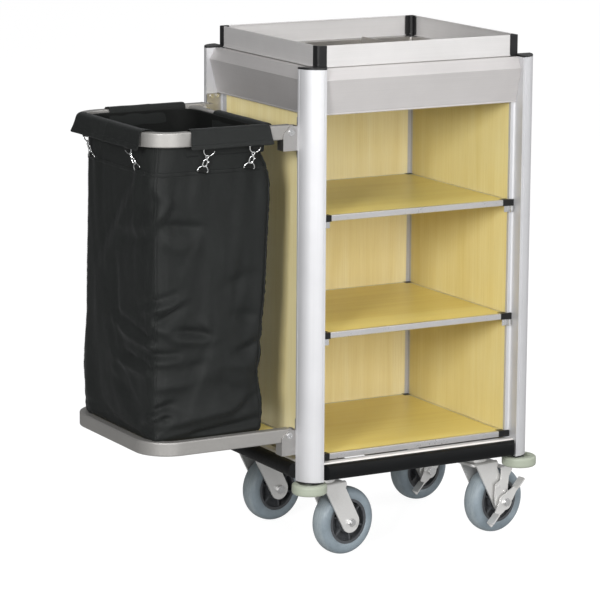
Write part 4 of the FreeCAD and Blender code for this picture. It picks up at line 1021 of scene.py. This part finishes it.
def collar_flap(name, start, end, place, seed, sway, drop, seam_at):
    """A flap folded over a bar from start to end; returns its points as a grid.

    place(run, out, z) puts a point of the section; seam_at is the run of a raised seam.
    """
    profile = COLLAR_PROFILE + [(8.0, -drop + 6.0), (9.0, -drop + 1.5), (9.3, -drop)]
    length = abs(end - start)
    steps = max(12, int(length / 4.5))
    girth = [0.0]
    for (a, b), (c, d) in zip(profile, profile[1:]):
        girth.append(girth[-1] + math.hypot(c - a, d - b))
    verts, uvs = [], []
    for i in range(steps + 1):
        t = i / steps
        kick = math.exp(-min(t, 1 - t) * length / 9.0)    # the ends kick out
        for j, (out, z) in enumerate(profile):
            hang_share = smoothstep((j - 9.0) / 9.0)      # 0 on top, 1 at the hem
            # the end edges flare a little towards the hem
            run = start + (end - start) * (t + (t - 0.5) * 0.05 * hang_share)
            slow = ripple(run * 0.016, seed, j * 0.11)
            quick = ripple(run * 0.05, seed + 5.0, j * 0.20)
            out += hang_share * (sway * (3.0 * slow + 1.2 * quick)
                                 + 1.6 * math.sin(run * 0.045 + seed)) * 0.8
            out += kick * hang_share * 2.4
            z = TUBE_TOP + z + ((0.9 * quick + 0.5) * (1 - abs(hang_share - 0.5))
                                * (0.6 if j < 4 else 1.0))
            z += hang_share * (1.4 * ripple(run * 0.02, seed + 9.0, 0.0))
            if seam_at is not None:
                ridge = math.exp(-(abs(run - seam_at) / 2.2) ** 2)
                out += 0.9 * ridge * (j > 8)
                z += 0.7 * ridge * (5 <= j <= 9)
            verts.append(place(run, out, z))
            uvs.append((run / 1000.0, girth[j] / 1000.0))
    faces = grid_faces(steps + 1, len(profile))
    piece = mesh_piece(name, verts, faces, "fabric", uvs)
    bake_later(piece, subdivisions=2, thickness=0.0014, offset=0.0)
    hang(piece)
    return np.array(verts).reshape(steps + 1, len(profile), 3)


def flap_normal(flap, i, j):
    """Unit normal of a flap, on whichever side its grid gives."""
    rows, cols = flap.shape[:2]
    along = flap[min(rows - 1, i + 1), j] - flap[max(0, i - 1), j]
    return unit(np.cross(along, flap[i, min(j + 1, cols - 1)] - flap[i, j - 1]))


def faces_bag(normal, flap, i):
    """Whether a normal points from the hem back over the bar."""
    return np.dot(normal[:2], (flap[i, -1] - flap[i, 3])[:2]) < 0


# Section round a turned hem: (profile point counted from the hem, rise, off the cloth)
HEM_SECTION = [(-4, 0.0, 0.2), (-4, 0.0, 1.2), (-3, 0.0, 1.5), (-2, 0.0, 1.5), (-1, 0.0, 1.3),
               (-1, -1.2, 0.4), (-1, -1.0, -0.8), (-2, 0.0, -1.1), (-3, 0.0, -1.0)]


def collar_hem(name, flap):
    """A doubled strip along the foot of a flap; returns its two stitch lines."""
    rows, cols = flap.shape[:2]
    verts, uvs = [], []
    for i in range(rows):
        for from_hem, rise, off in HEM_SECTION:
            j = cols + from_hem
            normal = flap_normal(flap, i, j)
            if (normal[0] < 0 if name == "bag_collar_inner" else faces_bag(normal, flap, i)):
                normal = -normal
            verts.append(flap[i, j] + normal * off + np.array([0, 0, rise]))
            uvs.append((i * 0.0045, j * 0.004))
    count = len(HEM_SECTION)
    piece = mesh_piece(name + "_hem", verts, rod_faces(rows, count), "fabric", uvs)
    bake_later(piece, subdivisions=1)
    hang(piece)
    grid = np.array(verts).reshape(rows, count, 3)
    return [[(ring[j], unit(ring[2] - ring[7])) for ring in grid] for j in (1, 3)]


def end_stitch_line(flap, i):
    """A stitch line down the outside of a flap at row i."""
    line = []
    for j in range(8, flap.shape[1] - 3):
        normal = flap_normal(flap, i, j)
        if (normal[2] < 0 if j < 11 else faces_bag(normal, flap, i)):
            normal = -normal
        line.append((flap[i, j] + normal * 0.5, normal))
    return line


COLLARS = {  # start, end, placing function, noise seed, sway, drop, seam place
    "bag_collar_outer": (94.0, 394.0, over_outer, 2.3, 1.2, 36.5, 243.0),
    "bag_collar_front": (-248.0, -64.0, over_front, 5.1, 0.9, 36.0, -190.0),
    "bag_collar_back": (-250.0, -66.0, over_back, 8.7, 0.9, 36.0, -150.0),
    "bag_collar_inner": (92.0, 312.0, over_crossbar, 11.9, 0.5, 33.0, None)}
flaps = {name: collar_flap(name, *shape) for name, shape in COLLARS.items()}
collar_lines = []
for name, flap in flaps.items():
    collar_lines += collar_hem(name, flap)
    collar_lines += [end_stitch_line(flap, i) for i in (1, len(flap) - 2)]
hang(stitch_rows("bag_collar_stitching", collar_lines, lift=0.15, pitch=4.6, length=3.0,
                 radius=0.3))


# ============================================ laundry bag: tabs for the hooks
# Section of a strap: (share of half width, share of thickness)
STRAP_SECTION = ((-1, -0.25), (-1, 0.25), (-0.9, 0.5), (-0.4, 0.42), (0.4, 0.42), (0.9, 0.5),
                 (1, 0.25), (1, -0.25), (0.9, -0.5), (0.4, -0.42), (-0.4, -0.42), (-0.9, -0.5))
UNDERSIDE_SHIFT = 40                  # keeps the two sides apart on the weave

HOOK_Z = 919.0
HOOK_DROP = 48.0                      # from a hook's top bar to its foot bar
END_HOOK_Y = 54.0                     # in from the front or back of the cart


def strap(name, points, bar, width, thickness):
    """Flat webbing through points, its width along the bar."""
    verts, uvs = [], []
    run = 0.0
    across = unit(bar)
    for i, point in enumerate(points):
        before, after = points[max(0, i - 1)], points[min(len(points) - 1, i + 1)]
        normal = unit(np.cross(unit(after - before), across))
        if i:
            run += float(np.linalg.norm(point - before))
        for side, up in STRAP_SECTION:
            reach = side * width / 2
            verts.append(point + across * reach + normal * (up * thickness))
            uvs.append((run / 1000.0, (reach + (UNDERSIDE_SHIFT if up < 0 else 0)) / 1000.0))
    faces = rod_faces(len(points), len(STRAP_SECTION))
    piece = mesh_piece(name, verts, faces, "webbing", uvs)
    bake_later(piece, subdivisions=1)
    return piece


def nearest(place):
    """(col, row) of the cloth point nearest a place, over the upper part of the bag."""
    distance = np.linalg.norm(CLOTH[:40] - place, axis=2)
    row, col = np.unravel_index(np.argmin(distance), distance.shape)
    return col, row


def rotation(axis, degrees):
    return np.array(Matrix.Rotation(math.radians(degrees), 3, axis))


def half_loop(centre, start, over, radius):
    """Half a turn round a bar, from the start direction by way of the over direction."""
    angles = [math.pi * i / 8.0 for i in range(9)]
    return [centre + start * (radius * math.cos(a)) + over * (radius * math.sin(a))
            for a in angles]


def hook_tabs(index, x, y, turn, tilt, lean):
    """The upper and lower tabs of one hook; angles in degrees."""
    pose = rotation("Z", turn) @ rotation("Y", lean) @ rotation("X", tilt)
    top = np.array([x, y, HOOK_Z])
    foot = top + pose @ np.array([0, 0, -HOOK_DROP])
    bar = pose @ np.array([1.0, 0, 0])
    out = rotation("Z", turn) @ np.array([0, -1.0, 0])    # away from the bag
    down = pose @ np.array([0, 0, -1.0])
    up = -down
    # down from the collar, under the hook's top bar and back up
    points = ([top + out * 3.2 + up * 15.0, top + out * 2.6 + up * 8.0]
              + half_loop(top, out, down, radius=2.3)
              + [top - out * 2.4 + up * 8.0, top - out * 2.8 + up * 15.0])
    upper = strap("bag_tab_upper_%d" % index, points, bar, width=21.0, thickness=1.6)
    # from the band seam, over the foot bar and back
    col, row = nearest(foot - up * 3.0)
    sewn, normal = cloth_at(col, row + 0.3)
    points = ([sewn + normal * 1.0,
               (sewn + normal * 1.2) * 0.4 + (foot + out * 2.2 - up * 1.6) * 0.6]
              + half_loop(foot, out, up, radius=2.2)
              + [foot - out * 2.3 - up * 2.5, sewn + normal * 0.5 - up * 0.6])
    lower = strap("bag_tab_lower_%d" % index, points, bar, width=19.0, thickness=1.3)
    return [upper, lower]


hook_poses = []                       # x, y, turn, tilt, lean
for x, lean in END_HOOKS:
    hook_poses.append((x, END_HOOK_Y, 0.0, 16.0, lean))
    hook_poses.append((x, CART_DEPTH - END_HOOK_Y, 180.0, 16.0, lean))
hook_poses += [(-338.5, y, -90.0, 16.0, lean) for y, lean in OUTER_HOOKS]
hook_poses += [(-47.0, y, 90.0, 7.0, lean) for y, lean in INNER_HOOKS]
tabs = []
for i, pose in enumerate(hook_poses):
    tabs += hook_tabs(i, *pose)

bake_all()
for tab in tabs:
    hang(tab)
for piece in soft:
    hang(piece)
    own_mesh(piece)
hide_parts("laundry_bag")


# ============================================================ floor and light
FLOOR_HALF = 60
FLOOR_Z = -0.0004
scene = bpy.context.scene


def floor_material():
    """A lit white sweep: near-white when seen directly, lighting more from front right."""
    mat = Mat("studio_floor_white")
    mat.set("Base Color", mat.mix(mat.noise(mat.coords, scale=3.0, detail=2),
                                  (0.93, 0.93, 0.93, 1), (0.95, 0.95, 0.95, 1)))
    gloss = mat.noise(mat.coords, scale=5.0, detail=2)
    mat.set("Roughness", mat.add(0.14, mat.multiply(gloss, 0.04)))
    mat.set("Specular IOR Level", 0.55)
    seen = mat.camera_ray()
    x, y, _ = mat.split(mat.coords)
    slope = mat.add(mat.multiply(x, 0.10), mat.multiply(y, -0.14))
    glow = mat.fit(mat.add(0.5, slope), over=(0.0, 1.0), to=(0.06, 0.58))
    strength = mat.add(mat.multiply(seen, 1.28),
                       mat.multiply(mat.math("SUBTRACT", 1.0, seen), glow))
    glowing = mat.build("ShaderNodeEmission", {"Color": (1, 1, 1, 1), "Strength": strength})
    surface_share = 0.30
    mat.put(mat.output.inputs[0], mat.mix_shader(surface_share, glowing.outputs[0],
                                                 mat.surface.outputs[0]))
    return mat.material


def studio_floor():
    mesh = bpy.data.meshes.new("studio_floor")
    signs = ((-1, -1), (1, -1), (1, 1), (-1, 1))
    mesh.from_pydata([(x * FLOOR_HALF, y * FLOOR_HALF, FLOOR_Z) for x, y in signs],
                     [], [(0, 1, 2, 3)])
    floor = bpy.data.objects.new("studio_floor", mesh)
    scene.collection.objects.link(floor)
    mesh.materials.append(floor_material())


def studio_world():
    """White to the camera; for lighting, brightest towards the upper front right."""
    world = bpy.data.worlds.new("studio")
    scene.world = world
    sky = Nodes(world)
    output = sky.node("ShaderNodeOutputWorld")
    direction = sky.node("ShaderNodeTexCoord").outputs["Generated"]
    strength = sky.fit(sky.dot(direction, (0.50, -0.78, 0.37)), over=(-1.0, 1.0),
                       to=(0.08, 0.68))
    lighting = sky.build("ShaderNodeBackground", {"Color": (0.985, 0.99, 1.0, 1),
                                                  "Strength": strength})
    backdrop = sky.build("ShaderNodeBackground", {"Color": (1, 1, 1, 1), "Strength": 1.0})
    sky.put(output.inputs[0], sky.mix_shader(sky.camera_ray(), lighting.outputs[0],
                                             backdrop.outputs[0]))


def area_light(name, place, target, size, power):
    light = bpy.data.lights.new(name, "AREA")
    assign(light, shape="RECTANGLE", size=size[0], size_y=size[1], energy=power)
    lamp = bpy.data.objects.new(name, light)
    lamp.location = place
    aim = Vector(target) - Vector(place)
    lamp.rotation_euler = aim.to_track_quat("-Z", "Y").to_euler()
    scene.collection.objects.link(lamp)
    lamp.visible_camera = False


studio_floor()
studio_world()
area_light("key_front", place=(-1.0, -5.4, 1.9), target=(0.0, 0.0, 0.55), size=(2.6, 2.2),
           power=155)
area_light("key_left", place=(-4.1, -3.6, 2.3), target=(-0.1, 0.0, 0.6), size=(1.1, 1.3),
           power=225)
area_light("top_soft", place=(0.4, -1.2, 4.2), target=(0.0, 0.0, 0.6), size=(2.6, 2.6),
           power=40)
area_light("rim_right", place=(3.8, -1.4, 2.0), target=(0.1, 0.0, 0.6), size=(1.8, 2.4),
           power=40)
assign(scene.view_settings, view_transform="Standard", look="None", exposure=0.0, gamma=1.0)


# ===================================================================== camera
def photo_camera():
    """A long lens from the front left, looking slightly down."""
    camera = bpy.data.cameras.new("photo_camera")
    assign(camera, sensor_fit="HORIZONTAL", sensor_width=36.0, lens=189.12798,
           clip_start=0.1, clip_end=200.0)
    holder = bpy.data.objects.new("photo_camera", camera)
    scene.collection.objects.link(holder)
    forward = Vector((0.48057532, 0.85484487, -0.19567219)).normalized()
    right = Vector((0.87228101, -0.48896608, 0.00616635)).normalized()
    up = right.cross(forward).normalized()
    right = forward.cross(up).normalized()
    pose = Matrix((right, up, -forward)).transposed().to_4x4()
    pose.translation = Vector((ORIGIN_X - 3.194734, ORIGIN_Y - 5.653581, 1.890572))
    holder.matrix_world = pose
    scene.camera = holder


photo_camera()

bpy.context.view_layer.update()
